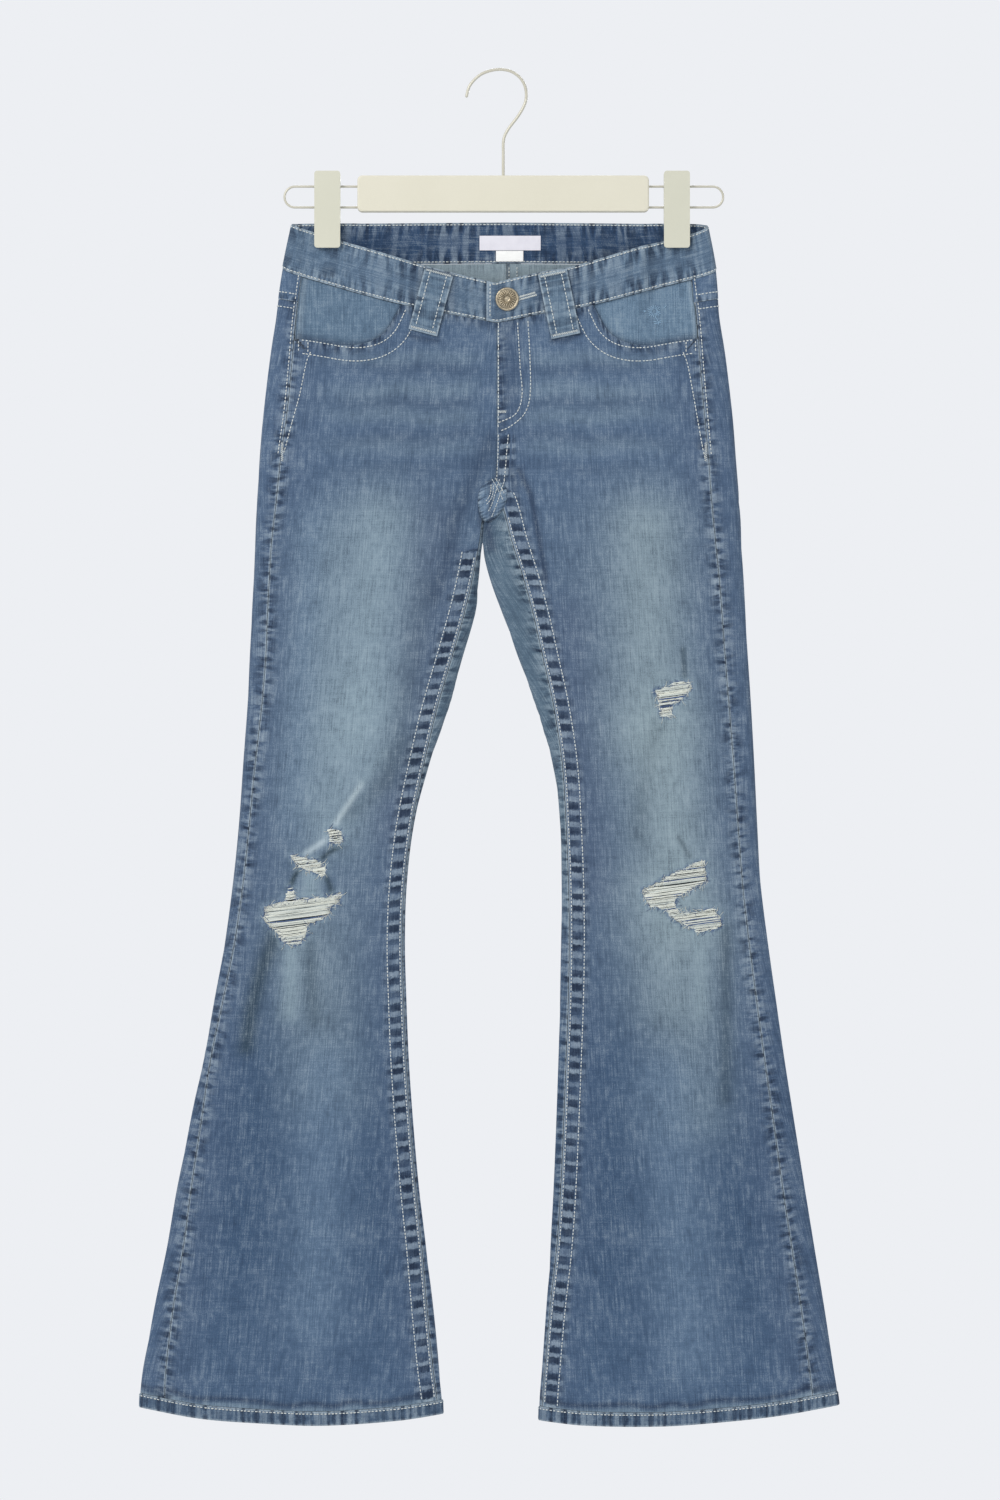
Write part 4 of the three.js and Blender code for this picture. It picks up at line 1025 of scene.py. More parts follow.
# Cells inside a rip go, and the corners of the cells beside it move on to its outline
def cutRips(side, base, outer, inner):
    keep = np.ones((base.shape[0] - 1, base.shape[1] - 1), bool)
    centre = (base[:-1, :-1] + base[1:, 1:]) / 2
    for outline in rips[side]:
        keep &= ~insideOutline(centre[..., 0], -centre[..., 2], outline)
    beside = np.pad(~keep, 1, constant_values=False)
    holes = beside[:-1, :-1].astype(int) + beside[1:, :-1] + beside[:-1, 1:] + beside[1:, 1:]
    at = np.nonzero((holes > 0) & (holes < 4))
    outline = np.concatenate(rips[side])
    spot = base[at][:, [0, 2]] * [1, -1]
    nearest = outline[np.argmin(np.linalg.norm(spot[:, None] - outline[None], axis=-1), axis=1)]
    x, down = mix(spot, nearest, 0.8).T
    for layer, offset in ((outer, garment["cloth"] / 2), (inner, -garment["cloth"] / 2)):
        layer[at] = surface(side, turnAt(side, x, down), down, np.full(len(x), offset))
    return keep


# Two layers of points with their faces; the inner layer is coloured as the wrong side
def clothShell(name, layers, uv, wash, under, edge, material=None, slot="denim", **extent):
    def both(first, second):
        return np.concatenate([first.reshape(-1, first.shape[-1]), second.reshape(-1, first.shape[-1])])

    under = np.broadcast_to(linear(palette[under]), wash.shape)
    fields = {"cloth": both(uv, uv + 37), "wash": both(wash, under), "edge": both(edge, edge)}
    faces = shellFaces(*layers[0].shape[:2], **extent)
    return meshPiece(name, both(*layers), faces, material or denim, slot, fields)


# A leg panel: the surface at plus and minus half the cloth, raised along its seams
def legPanel(side, back):
    look, layer = reliefLook, "back" if back else "front"
    turn, down = panelGrid(side, back)
    base = middle(side, turn, down)
    fromSide, fromTop = rowLengths(base), columnLengths(base)
    ends = [squareTo(base, fromSide, 0), squareTo(base, fromSide[:, -1:] - fromSide, -1)]
    alongEnds = [fromTop[:, :1], fromTop[:, -1:]]
    (toInseam, toOutseam), (inAlong, outAlong) = (ends[::-1], alongEnds[::-1]) if back else (ends, alongEnds)
    panels[side, back] = {"turn": turn, "down": down, "inseam": toInseam, "outseam": toOutseam}
    isFly = side == "left" and not back
    seamStart = look["flySeamStart" if isFly else "seamStart"]
    felled = np.zeros(down.shape) if back else smooth(seamStart, seamStart + 10, down)
    onLeg = smooth(garment["crotch"] - 4, garment["crotch"] + 14, down)
    shown = onLeg if back else (smooth(214, 220, down) if isFly else felled)
    toInseam = toInseam + look["unseen"] * (1 - shown)
    relief = panelRelief(
        back, isFly, base[..., 0], down, felled, toInseam, toOutseam, inAlong, outAlong, fromTop,
    )
    outer = surface(side, turn, down, garment["cloth"] / 2 + relief)
    inner = surface(side, turn, down, -garment["cloth"] / 2 + relief * 0.5)
    toTop = fromTop + (look["unseen"] if back else 0.8)
    away = np.minimum(np.minimum(toInseam, toOutseam), toTop)
    alongEdge = np.where(away == toTop, fromSide, np.where(away == toInseam, inAlong, outAlong))
    alongEdge = alongEdge + (173 if side == "left" else 0)
    edge = np.stack([away, alongEdge, np.where(away == toInseam, felled, 0)], -1)
    wash = panelWash(side, back, base, down, toInseam, toOutseam, fromTop)
    uv = np.stack([grainDistance(side, base, down, back) + 300 * back, down], -1)
    keep = None if back else cutRips(side, base, outer, inner)
    name = layer + "Panel" + side.capitalize()
    piece = clothShell(name, (outer, inner), uv, wash, "wrongSide", edge, keep=keep)
    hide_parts(layer + "_panel_" + side)


for side in ("right", "left"):
    legPanel(side, False)
    legPanel(side, True)
print("leg panels made")


# A point on either half of the front or back, by its x
def layerPoint(x, down, offset, back=False):
    x, down, offset = np.broadcast_arrays(*(np.asarray(part, float) for part in (x, down, offset)))
    centre = garment["centreBack" if back else "centreFront"]
    halves = [surface(side, turnAt(side, x, down, back), down, offset) for side in ("right", "left")]
    return np.where((x < centre)[..., None], *halves)


# What a sewn piece has unless its own dictionary says otherwise
sewnLook = {
    "edges": ("start", "end", "top", "bottom"), "rowsAt": (), "waves": 0.12, "wavePitch": 4.5,
    "lengthwise": False, "awayScale": 1.3, "alongScale": 1.0, "shift": 0, "wash": "hip", "under": "wrongSide",
    "grainAcross": False, "shade": None, "area": None, "restsOn": "waistband",
}


# A sewn strip or patch. at(u, v, offset) gives its points, look its sizes and colours:
# its edges are rounded over, and the cloth sinks a little under the rows of stitches.
def sewnShell(name, node, at, look, ring=False, material=None, slot="denim"):
    look = {**sewnLook, **look}
    columns, rows, half = look["columns"], look["rows"], look["thickness"] / 2
    u = np.linspace(0, 1, columns + 1)[: columns if ring else None]
    u, v = np.meshgrid(u, np.linspace(0, 1, rows + 1))
    base = at(u, v, np.zeros(u.shape))
    fromSide, fromTop = rowLengths(base), columnLengths(base)
    width = fromSide[:, -1:] + (fromSide[:, 1:2] if ring else 0)
    gaps = {"start": fromSide, "end": width - fromSide, "top": fromTop, "bottom": fromTop[-1:] - fromTop}
    every = np.min([gaps[key] for key in look["edges"]], axis=0)
    swell = -0.45 * half * (1 - smooth(0, 1.6, every)) ** 2
    for inset in look["rowsAt"]:
        swell = swell - 0.16 * bell(every - inset, 0.8)
    run = fromTop if look["lengthwise"] else fromSide
    phase = run * 2 * np.pi / look["wavePitch"] + 2.5 * np.sin(run / 17) + 1.3 * np.sin(run / 7)
    swell = swell + look["waves"] * np.sin(phase) * np.exp(-every / 4)
    layers = at(u, v, half + swell), at(u, v, -half - swell * 0.5)
    pace = run if look["lengthwise"] else np.broadcast_to(run[len(run) // 2], run.shape)
    pace = pace * look["alongScale"] + look["shift"]
    edge = np.stack([every * look["awayScale"], pace, np.zeros(every.shape)], -1)
    wash = np.broadcast_to(linear(palette[look["wash"]]), base.shape)
    if look["shade"]:
        wash = blendTo(wash, "darkIndigoAndShade", look["shade"](base))
    flat = (base[..., 0] + look["shift"], look["shift"] - base[..., 2])
    if look["grainAcross"]:
        flat = (fromTop, fromSide)
    piece = clothShell(name, layers, np.stack(flat, -1), wash, look["under"], edge, material, slot, ring=ring)
    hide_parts(node)
    return at


# Waistband: one strip from the overlap's end, round the left half, the back and the right half.
# It lies in shade beside each front loop, whose x and amount the last two rows give.
bandLook = {
    "columns": 540, "rows": 22, "thickness": garment["band"], "rowsAt": (1.6,), "awayScale": 0.5,
    "alongScale": 0.9, "wash": "bandFront", "under": "bandInside", "waves": 0.16, "wavePitch": 4.2,
    "grainAcross": True, "flat": (0.75, 0.037), "restsOn": "clip_front_right", "overlapEnd": 0.0152,
    "underlapEnd": 0.0337, "lap": 1.4, "shadeReach": 7.5, "shadeOut": 12, "shadeAt": ((-57, 0.5), (46, 0.6)),
}


# How far the lapped ends of the band stand off, by the turn from the centre front
def bandLap(turn):
    return bandLook["lap"] * (1 - smooth(0.036, 0.057, turn))


def bandPoint(u, v, offset):
    way = mix(-bandLook["overlapEnd"], 2 + bandLook["underlapEnd"], u)
    onLeft = ((way >= 0) & (way <= 1)) | (way > 2)
    turn = np.where(way < 0, -way, np.where(way > 2, way - 2, np.where(way > 1, 2 - way, way)))
    lap = bandLap(way) - bandLook["lap"] * smooth(2 - 0.045, 2 - 0.018, way)
    halves = []
    for side in ("left", "right"):
        down = mix(waistTop(side, turn), waistSeam(side, turn) - garment["seamGap"], v)
        halves.append(surface(side, turn, down, offset + lap))
    return np.where(onLeft[..., None], *halves)


# Bell curves of the distance from the loops' edges
def bandShade(base):
    aside = [np.abs(base[..., 0] - x) - bandLook["shadeOut"] for x, _ in bandLook["shadeAt"]]
    amounts = [amount for _, amount in bandLook["shadeAt"]]
    shares = [amount * bell(gap, bandLook["shadeReach"]) for gap, amount in zip(aside, amounts)]
    return np.max(shares, axis=0) * (base[..., 1] < 0)


bandLook["shade"] = bandShade
band = sewnShell("waistbandCloth", "waistband", bandPoint, bandLook)

facingLook = {
    "columns": 64, "rows": 32, "thickness": garment["lining"], "edges": ("end",), "waves": 0.05,
    "flat": (0.115, 0.062), "area": 0.0052, "startOut": 74, "belowMouth": 14, "shadeReach": 4.5,
    "shadeAmount": 0.62,
}
yokeLook = {
    "columns": 120, "rows": 28, "thickness": garment["cloth"], "edges": ("bottom", "end"), "waves": 0.1,
    "flat": (0.2, 0.075), "area": 0.0092, "frontShare": 0.12,
}
hemLook = {
    "columns": 420, "rows": 12, "thickness": garment["hem"], "edges": ("bottom", "top"), "waves": 0.3,
    "wavePitch": 5.2, "awayScale": 0.7, "alongScale": 0.95, "wash": "hem", "under": "hem",
    "flat": (0.517, 0.012),
}
patchLook = {
    "columns": 66, "rows": 66, "thickness": garment["cloth"], "rowsAt": (2.2,), "waves": 0.14,
    "shift": 1300, "flat": (0.116, 0.124), "area": 0.013,
}


# How deep a piece of lining lies behind the cloth's middle
def liningLevel():
    return -(garment["cloth"] / 2 + garment["layGap"] + garment["lining"] / 2)


def facingShade(base):
    under = mouth(base[..., 0])
    inside = bell(np.maximum(under + base[..., 2], 0), facingLook["shadeReach"]) * (under > 0)
    return facingLook["shadeAmount"] * inside


def buildFacing(side):
    def low(turn):
        bottom = np.maximum(waistSeam(side, turn), mouth(across(side, turn, 225)))
        return bottom + facingLook["belowMouth"]

    def at(u, v, offset):
        start = turnAt(side, garment["centreFront"] + signOf[side] * facingLook["startOut"], 210)
        end = seamTurn(side, "outseam", mix(waistSeam(side, 0.4), low(0.4), v))
        for _ in range(2):
            line = mix(waistSeam(side, end), low(end), v)
            end = nudge(side, seamTurn(side, "outseam", line), line, -garment["seamGap"])
        turn = mix(start, end, u)
        return surface(side, turn, mix(waistSeam(side, turn), low(turn), v), offset + liningLevel())

    own = {"wash": "facing" + side.capitalize(), "shift": 400 if side == "left" else 0, "shade": facingShade}
    sewnShell("pocketFacing" + side.capitalize(), "pocket_facing_" + side, at, {**facingLook, **own})


def buildYoke(side):
    def at(u, v, offset):
        start = nudge(side, seamTurn(side, "outseam", 180.0), 180.0, garment["seamGap"] / 2 + 0.05)
        share = yokeLook["frontShare"]
        turn = np.where(u < share, mix(start, 0.5, u / share), mix(0.5, 1, (u - share) / (1 - share)))
        return surface(side, turn, mix(waistSeam(side, turn), yokeSeam(turn), v), offset)

    own = {"shift": 900 if side == "left" else 500}
    sewnShell("backYoke" + side.capitalize(), "back_yoke_" + side, at, {**yokeLook, **own})


def buildHem(side):
    def at(u, v, offset):
        return surface(side, u, mix(hemEdge(side, u) - garment["hemHeight"], hemEdge(side, u), v), offset)

    own = {"shift": 60 if side == "left" else 0, "restsOn": "frontPanel" + side.capitalize()}
    return sewnShell("turnedHem" + side.capitalize(), "hem_" + side, at, {**hemLook, **own}, ring=True)


# A patch pocket: a rectangle that narrows a little downwards and ends in a point
def buildPatch(side):
    size = backPocketSize

    def at(u, v, offset):
        aside = (u - 0.5) * size["width"] * mix(1, size["narrowing"], v)
        point = size["corner"] * (1 - np.abs(2 * u - 1))
        x = garment["centreBack"] + signOf[side] * (size["out"] + aside + size["lean"] * v)
        down = size["top"] + (size["height"] - size["corner"] + point) * v
        return layerPoint(x, down, offset + garment["cloth"] + garment["layGap"], True)

    own = {"restsOn": "backPanel" + side.capitalize()}
    return sewnShell("backPocket" + side.capitalize(), "back_pocket_" + side, at, {**patchLook, **own})


hems, patches = {}, {}
for side in ("right", "left"):
    buildFacing(side)
    buildYoke(side)
    hems[side] = buildHem(side)
    patches[side] = buildPatch(side)
print("band, facings, yokes, hems and patch pockets made")

# node, piece, top x and down, bottom x and down, on the back
beltLoops = [
    ("belt_loop_front_right", "beltLoopFrontRight", -52.8, 170.6, -66.8, 223, False),
    ("belt_loop_front_left", "beltLoopFrontLeft", 43.2, 171.6, 54.6, 226, False),
    ("belt_loop_back_right", "beltLoopBackRight", -104, 130.4, -104, 184, True),
    ("belt_loop_back_centre", "beltLoopBackCentre", 4.2, 129.2, 4.2, 183, True),
    ("belt_loop_back_left", "beltLoopBackLeft", 110, 130.4, 110, 184, True),
]
loopLook = {
    "columns": 22, "rows": 46, "thickness": garment["loop"], "rowsAt": (5.2,), "waves": 0.2,
    "lengthwise": True, "wavePitch": 5.5, "awayScale": 0.7, "wash": "loop", "width": 25,
    "flat": (0.025, 0.054),
}


# The band's lower seam at an x, read at one height of the front or the back
def seamAt(x, back=False):
    centre = garment["centreBack" if back else "centreFront"]
    seams = [waistSeam(side, turnAt(side, x, 164 if back else 210, back)) for side in ("right", "left")]
    return np.where(x < centre, *seams)


def beltLoop(node, name, topX, topDown, bottomX, bottomDown, back):
    length = math.hypot(bottomX - topX, bottomDown - topDown)
    slantX, slantDown = (bottomX - topX) / length, (bottomDown - topDown) / length

    def at(u, v, offset):
        aside = (u - 0.5) * loopLook["width"]
        x = mix(topX, bottomX, v) + aside * slantDown
        down = mix(topDown, bottomDown, v) - aside * slantX
        onBand = garment["band"] / 2 + garment["layGap"] + garment["loop"] / 2
        sunk = (garment["band"] - garment["cloth"]) / 2 * smooth(2, 9, down - seamAt(x, back))
        return layerPoint(x, down, offset + onBand - sunk, back)

    return sewnShell(name, node, at, {**loopLook, "shift": abs(topX) * 9})


loops = [beltLoop(*row) for row in beltLoops]


def satinMaterial(name, dark, light, sheen):
    material, tree, shader = newMaterial(name)
    cloth = put(tree, "ShaderNodeUVMap", uv_map="cloth").outputs[0]
    parts = put(tree, "ShaderNodeSeparateXYZ", {0: cloth}).outputs
    rib = calc(tree, "SINE", calc(tree, "MULTIPLY", parts[1], 100 * 2 * math.pi / 0.6))
    soft = noise(tree, cloth, 9.0, 3.0)
    share = calc(tree, "MULTIPLY_ADD", rib, 0.12, calc(tree, "MULTIPLY", soft, 0.7), clamp=True)
    height = calc(tree, "MULTIPLY_ADD", rib, 0.04, soft)
    fixed = {"Sheen Weight": sheen}
    finishShader(tree, shader, share, rgba(dark), rgba(light), soft, (0.45, 0.6), height, 0.001, fixed)
    return material


# node, piece, x from and to, top and bottom inside the back band, flat size, two colours, sheen
labels = [
    (
        "waist_label", "waistLabel", (-18.7, 33.3, 139.8, 152.2), (0.054, 0.0125),
        ("label satin", (212, 210, 220), (236, 234, 240), 0.2), "label",
    ),
    (
        "size_tab", "sizeTab", (-4.7, 18.5, 152.6, 161.6), (0.024, 0.0105),
        ("tab satin", (240, 240, 238), (250, 250, 248), 0.15), "tab",
    ),
]
labelLook = {"columns": 60, "rows": 16, "thickness": garment["label"], "under": "hip", "waves": 0.08}


def labelPiece(node, name, box, flat, colours, slot):
    left, right, top, bottom = box

    def at(u, v, offset):
        lift = garment["band"] / 2 + garment["layGap"] + garment["label"] / 2
        return layerPoint(mix(left, right, u), mix(top, bottom, v), offset - lift, True)

    sewnShell(name, node, at, {**labelLook, "flat": flat}, material=satinMaterial(*colours), slot=slot)


for row in labels:
    labelPiece(*row)

# Fly facing and zip tape, hidden behind the fly
flyEdge = np.array([[210, 25.5], [246, 27.2], [274, 27], [290, 22.6], [301, 12], [305, 5]])
hiddenLook = {"rows": 60, "thickness": garment["lining"], "edges": ("start", "end"), "waves": 0.04}
flyFacingLook = {
    **hiddenLook, "columns": 24, "flat": (0.032, 0.096), "area": 0.0027, "restsOn": "frontPanelLeft",
}
zipLook = {
    **hiddenLook, "columns": 20, "flat": (0.022, 0.085), "restsOn": "flyFacing", "x": (-12, 9), "bottom": 294,
}


def flyPoint(u, v, offset):
    x = mix(garment["centreFront"] + 0.5, readRows(flyEdge, 1, mix(210, 305, v)), u)
    top = waistSeam("left", turnAt("left", x, 210)) + garment["seamGap"]
    return layerPoint(x, mix(top, 305, v), offset + liningLevel())


def zipPoint(u, v, offset):
    x = mix(*zipLook["x"], u)
    level = liningLevel() - garment["lining"] - 0.5
    return layerPoint(x, mix(seamAt(x) + garment["seamGap"], zipLook["bottom"], v), offset + level)


sewnShell("flyFacing", "fly_facing", flyPoint, flyFacingLook)
zipTape = satinMaterial("zip tape", (38, 50, 70), (52, 66, 88), 0.1)
sewnShell("zipTape", "zip", zipPoint, zipLook, material=zipTape, slot="zip_tape")
print("loops, labels and fly parts made")

# Sewing thread: each stitch is a short strand that arches over the cloth and dives in at both ends
threadLook = {
    "pitch": 3.1,
    "share": 0.68,
    "radius": 0.47,
    "colour": (236, 240, 236),
    "shade": (186, 198, 206),
    "twist": 1.0,
}


# Quads between rings of points that follow one another
def ringQuads(index):
    turned = np.roll(index, -1, -1)
    corners = [index[..., :-1, :], index[..., 1:, :], turned[..., 1:, :], turned[..., :-1, :]]
    return np.stack(corners, -1).reshape(-1, 4)


# Strands: a ring of corners round every point of each path, square to the path
def strandMesh(name, paths, up, radius, colours, material, slot="denim", sides=5):
    tangent = unit(np.gradient(paths, axis=1))
    aside = unit(np.cross(tangent, up[:, None]))
    lift = np.cross(aside, tangent)
    angle = 2 * np.pi * np.arange(sides) / sides
    ringWay = aside[:, :, None] * np.cos(angle)[:, None] + lift[:, :, None] * np.sin(angle)[:, None]
    points = paths[:, :, None] + radius[..., None, None] * ringWay
    count, steps = paths.shape[:2]
    index = np.arange(count * steps * sides).reshape(count, steps, sides)
    quads = ringQuads(index)
    caps = np.concatenate([index[:, 0], index[:, -1, ::-1]])
    length = np.cumsum(np.linalg.norm(np.diff(paths, axis=1, prepend=paths[:, :1]), axis=-1), axis=1)
    length = length + np.arange(count)[:, None] * 7.3
    around = np.broadcast_to(angle / (2 * np.pi) * threadLook["twist"], (count, steps, sides))
    uv = np.stack([np.broadcast_to(length[..., None], around.shape), around], -1).reshape(-1, 2)
    wash = np.broadcast_to(colours[:, None, None], (count, steps, sides, 3)).reshape(-1, 3)
    fields = {"cloth": uv, "wash": wash}
    return meshPiece(name, points.reshape(-1, 3), [quads, caps], material, slot, fields, sharp=None)


def threadMaterial(name):
    material, tree, shader = newMaterial(name)
    cloth = put(tree, "ShaderNodeUVMap", uv_map="cloth").outputs[0]
    place = put(tree, "ShaderNodeSeparateXYZ", {0: cloth}).outputs
    way = calc(tree, "ADD", place[0], place[1])
    ply = calc(tree, "SINE", calc(tree, "MULTIPLY", way, 100 * 2 * math.pi / threadLook["twist"]))
    fuzz = noise(tree, objectPlace(tree), 900.0, 2.0)
    share = calc(tree, "MULTIPLY_ADD", ply, 0.06, calc(tree, "MULTIPLY", fuzz, 0.16), clamp=True)
    tint, shade = attribute(tree, "wash", "Color"), rgba(threadLook["shade"])
    finishShader(tree, shader, share, tint, shade, fuzz, (0.6, 0.8), ply, 0.0002, {})
    return material


sewingThread = threadMaterial("cotton thread")
stitches = {"front": [], "band": [], "back": []}
towardFront = np.array([0.0, -1.0, 0.0])


# Stitches along a line of points with their normals. A tack's stitches lie across the line.
def stitchRow(group, line, pitch=None, radius=None, share=None, tack=0.0):
    look = threadLook
    pitch, radius, share = pitch or look["pitch"], radius or look["radius"], share or look["share"]
    points, normals = line
    length = lineLength(points)
    count = max(1, int(length[-1] / pitch))
    begin = (np.arange(count) + 0.12) * pitch + random.normal(0, 0.05 * pitch, count)

    def at(values, where):
        return np.stack([np.interp(where, length, values[:, k]) for k in range(3)], -1)

    first, final = at(points, begin), at(points, begin + share * pitch)
    up = unit(at(normals, begin + share * pitch / 2))
    centre, reach = (first + final) / 2, (final - first) / 2
    if tack:
        zigzag = np.where(np.arange(count) % 2, 1, -1)[:, None]
        reach = unit(np.cross(up, reach)) * tack / 2 + reach * 0.9 * zigzag
    along = np.array([-1, -0.55, 0.55, 1])[:, None]
    lift = np.array([-0.7, 0.25, 0.25, -0.7])[:, None] * radius
    paths = centre[:, None] + reach[:, None] * along + up[:, None] * lift
    thick = np.tile(radius * np.array([0.6, 1, 1, 0.6]), (count, 1))
    tint = mix(linear(look["colour"]), linear(look["shade"]), random.random(count)[:, None] * 0.5)
    stitches[group].append((paths, up, thick, tint))


# Stitches on points that all face the front
def frontRow(group, points, stitch):
    stitchRow(group, (points, np.broadcast_to(towardFront, points.shape)), *stitch)


# Strands over one leg's front from their x, down and offset
def legStrands(name, side, x, down, offset, thick, tint, sides=5):
    paths = surface(side, turnAt(side, x, down), down, offset)
    up = np.broadcast_to(towardFront, (len(paths), 3))
    strandMesh(name, paths, up, thick, tint, sewingThread, sides=sides)


# Points every step along a smooth line through the corners
def smoothLine(corners, step=1.5):
    corners = np.array(corners, float)
    rows = np.column_stack([lineLength(corners), corners])
    at = np.arange(0, rows[-1, 0] + step / 2, step)
    return np.stack([readRows(rows, k + 1, at) for k in range(corners.shape[1])], -1)


def legLine(side, turn, down, level):
    turn, down = np.broadcast_arrays(np.asarray(turn, float), np.asarray(down, float))
    return surface(side, turn, down, level + np.zeros(down.shape)), outward(side, turn, down)


# The line at one distance from a panel's seam, read from the panel's own grid
def seamLine(side, back, seam, distance, top, bottom, level):
    grid = panels[side, back]
    ordered = 1 if grid[seam][0, 0] < grid[seam][0, -1] else -1
    away, turn, down = (grid[key][:, ::ordered] for key in (seam, "turn", "down"))
    turns = np.array([np.interp(distance, a, t) for a, t in zip(away, turn)])
    downs = np.array([np.interp(distance, a, d) for a, d in zip(away, down)])
    shown = (downs > top) & (downs < bottom)
    return legLine(side, turns[shown], downs[shown], level)


def sideLine(side, corners, level, back=False):
    x, down = smoothLine(corners).T
    return legLine(side, turnAt(side, x, down, back), down, level)


# A line at a level over a sewn piece, along which its normals are the way from one level to the next
def pieceLine(at, u, v, level):
    u, v = np.broadcast_arrays(np.asarray(u, float), np.asarray(v, float))
    points, above = (at(u, v, np.full(u.shape, level + extra)) for extra in (0, 1))
    return points, unit(above - points)


# A line beside another in the flat: moved square to it, to its left as x and down run
def besideLine(points, distance):
    run = np.gradient(points, axis=0)
    run /= np.linalg.norm(run, axis=1)[:, None]
    return points + distance * np.stack([run[:, 1], -run[:, 0]], -1)


onCloth = garment["cloth"] / 2
# distances of rows from the seams they run beside
seamRows = {
    "near": 1.9, "far": 12.6, "pocketNear": 1.9, "pocketFar": 13.2, "yokeAbove": -6.2, "yokeBelow": 6.0,
    "outseam": 2.4, "centreBack": (2.2, 9.0), "band": 1.8, "patch": (2.2, 7.4), "patchTop": 11,
}
bandHeight = 36.5
# distances out from the centre front of the rows beside a pocket's mouth and of its two short end rows
mouthLook = {"from": 79, "to": 169, "ends": (160.5, 168.5), "tack": (316, 333)}
# pitch, radius, share and width of the close stitches of a tack
tackLooks = {
    "side": (0.8, 0.26, 0.9, 2.2), "fly": (0.7, 0.26, 0.9, 2.4), "patch": (0.7, 0.26, 0.9, 3.2),
    "loop": (0.75, 0.27, 0.9, 1.9), "buttonhole": (0.62, 0.3, 0.9, 1.7),
}

# where the two rows beside each inseam come out of the bunched crotch
inseamTops = {"right": {"near": 412, "far": 408}, "left": {"near": 379, "far": 356}}

# x and down of rows sewn on the front
flyRows = {
    "inner": [(13.6, 214.2), (15.9, 253.8), (17.4, 276.6), (12.1, 291.8), (-2.9, 299.4)],
    "outer": [(22.4, 212.8), (24.2, 246.2), (24.2, 276.6), (19.6, 291.6), (7.6, 302.4), (-2.6, 306.9)],
    "edge": [(-2.6, 214), (-2.6, 260), (-2.6, 306)],
    "tack": [(-3, 290), (5.2, 290)],
    "centreFar": [(6, 309), (4.6, 325), (3.8, 336), (2.4, 350)],
    "centreNear": [(-2.4, 309), (-2.4, 325), (-2.6, 336), (-3, 350)],
}
sideRows = {
    "right": [(-161.9, 239), (-165.3, 247), (-171.3, 275.4), (-177.2, 296.7), (-184, 322.2), (-186.2, 328)],
    "left": [(154, 239), (157.7, 249), (161.6, 269), (166.2, 295), (170.4, 318.8), (173.4, 331.5)],
}


# Two rows beside the pocket's mouth, two short rows at its outer end, and the slanting row with its tack
def sewPocketMouth(side):
    look = mouthLook
    out = np.arange(look["from"], look["to"] + 2, 1.0)
    edge = np.stack([out, mouth(out)], -1)
    for key in ("pocketNear", "pocketFar"):
        out, down = besideLine(edge, -seamRows[key]).T
        turn = turnAt(side, garment["centreFront"] + signOf[side] * out, down)
        inside = (down > waistSeam(side, turn) + 1) & (out < look["to"])
        stitchRow("front", legLine(side, turn[inside], down[inside], onCloth + 0.15))
    for out in look["ends"]:
        x = garment["centreFront"] + signOf[side] * out
        stitchRow("front", sideLine(side, [(x, mouth(out) + 2.5), (x, mouth(out) + 13)], onCloth + 0.1))
    stitchRow("front", sideLine(side, sideRows[side], onCloth + 0.1))
    x = sideRows[side][-1][0]
    corners = [(x, down) for down in look["tack"]]
    stitchRow("front", sideLine(side, corners, onCloth + 0.1), *tackLooks["side"])


# Edge rows along the outseam, on the yoke and on the back panel, and the two rows beside the yoke's seam
def sewBack(side):
    level = onCloth + 0.1
    down = np.arange(170, 196, 1.5)
    turn = nudge(side, seamTurn(side, "outseam", down), down, seamRows["outseam"])
    stitchRow("back", legLine(side, turn, down, level))
    stitchRow("back", seamLine(side, True, "outseam", seamRows["outseam"], 196, 330, level))
    turn = np.linspace(nudge(side, seamTurn(side, "outseam", 190.0), 190.0, 3.5), 1, 140)
    for key in ("yokeAbove", "yokeBelow"):
        stitchRow("back", legLine(side, turn, yokeSeam(turn) + seamRows[key], level))


# Rows down the centre back, outside and then inside
def sewCentreBack():
    for distance in seamRows["centreBack"]:
        x = garment["centreBack"] + distance
        stitchRow("back", sideLine("left", [(x, 168), (x, 200), (x, 260), (x, 340)], onCloth + 0.1, True))
    for distance in seamRows["centreBack"]:
        x = garment["centreBack"] + distance
        points, normals = sideLine("left", [(x, 166), (x, 190), (x, 222)], -onCloth - 0.1, True)
        stitchRow("back", (points, -normals))


def sewFly():
    for key, corners in flyRows.items():
        x, down = smoothLine(corners).T
        level = onCloth + (0.6 if key.startswith("centre") else 0.2) + flyLift(x, down)
        line = legLine("left", turnAt("left", x, down), down, level)
        stitchRow("front", line, *(tackLooks["fly"] if key == "tack" else ()))


# Rows along both edges of the band, outside and inside, and one across its overlapping end
def sewBand():
    half, share = garment["band"] / 2, seamRows["band"] / bandHeight
    for way in (1, -1):
        for v in (share, 1 - share):
            points, normals = pieceLine(band, np.linspace(0.004, 0.996, 560), v, way * half)
            stitchRow("band", (points, normals * way))
    stitchRow("band", pieceLine(band, 0.0026, np.linspace(0.06, 0.94, 30), half))


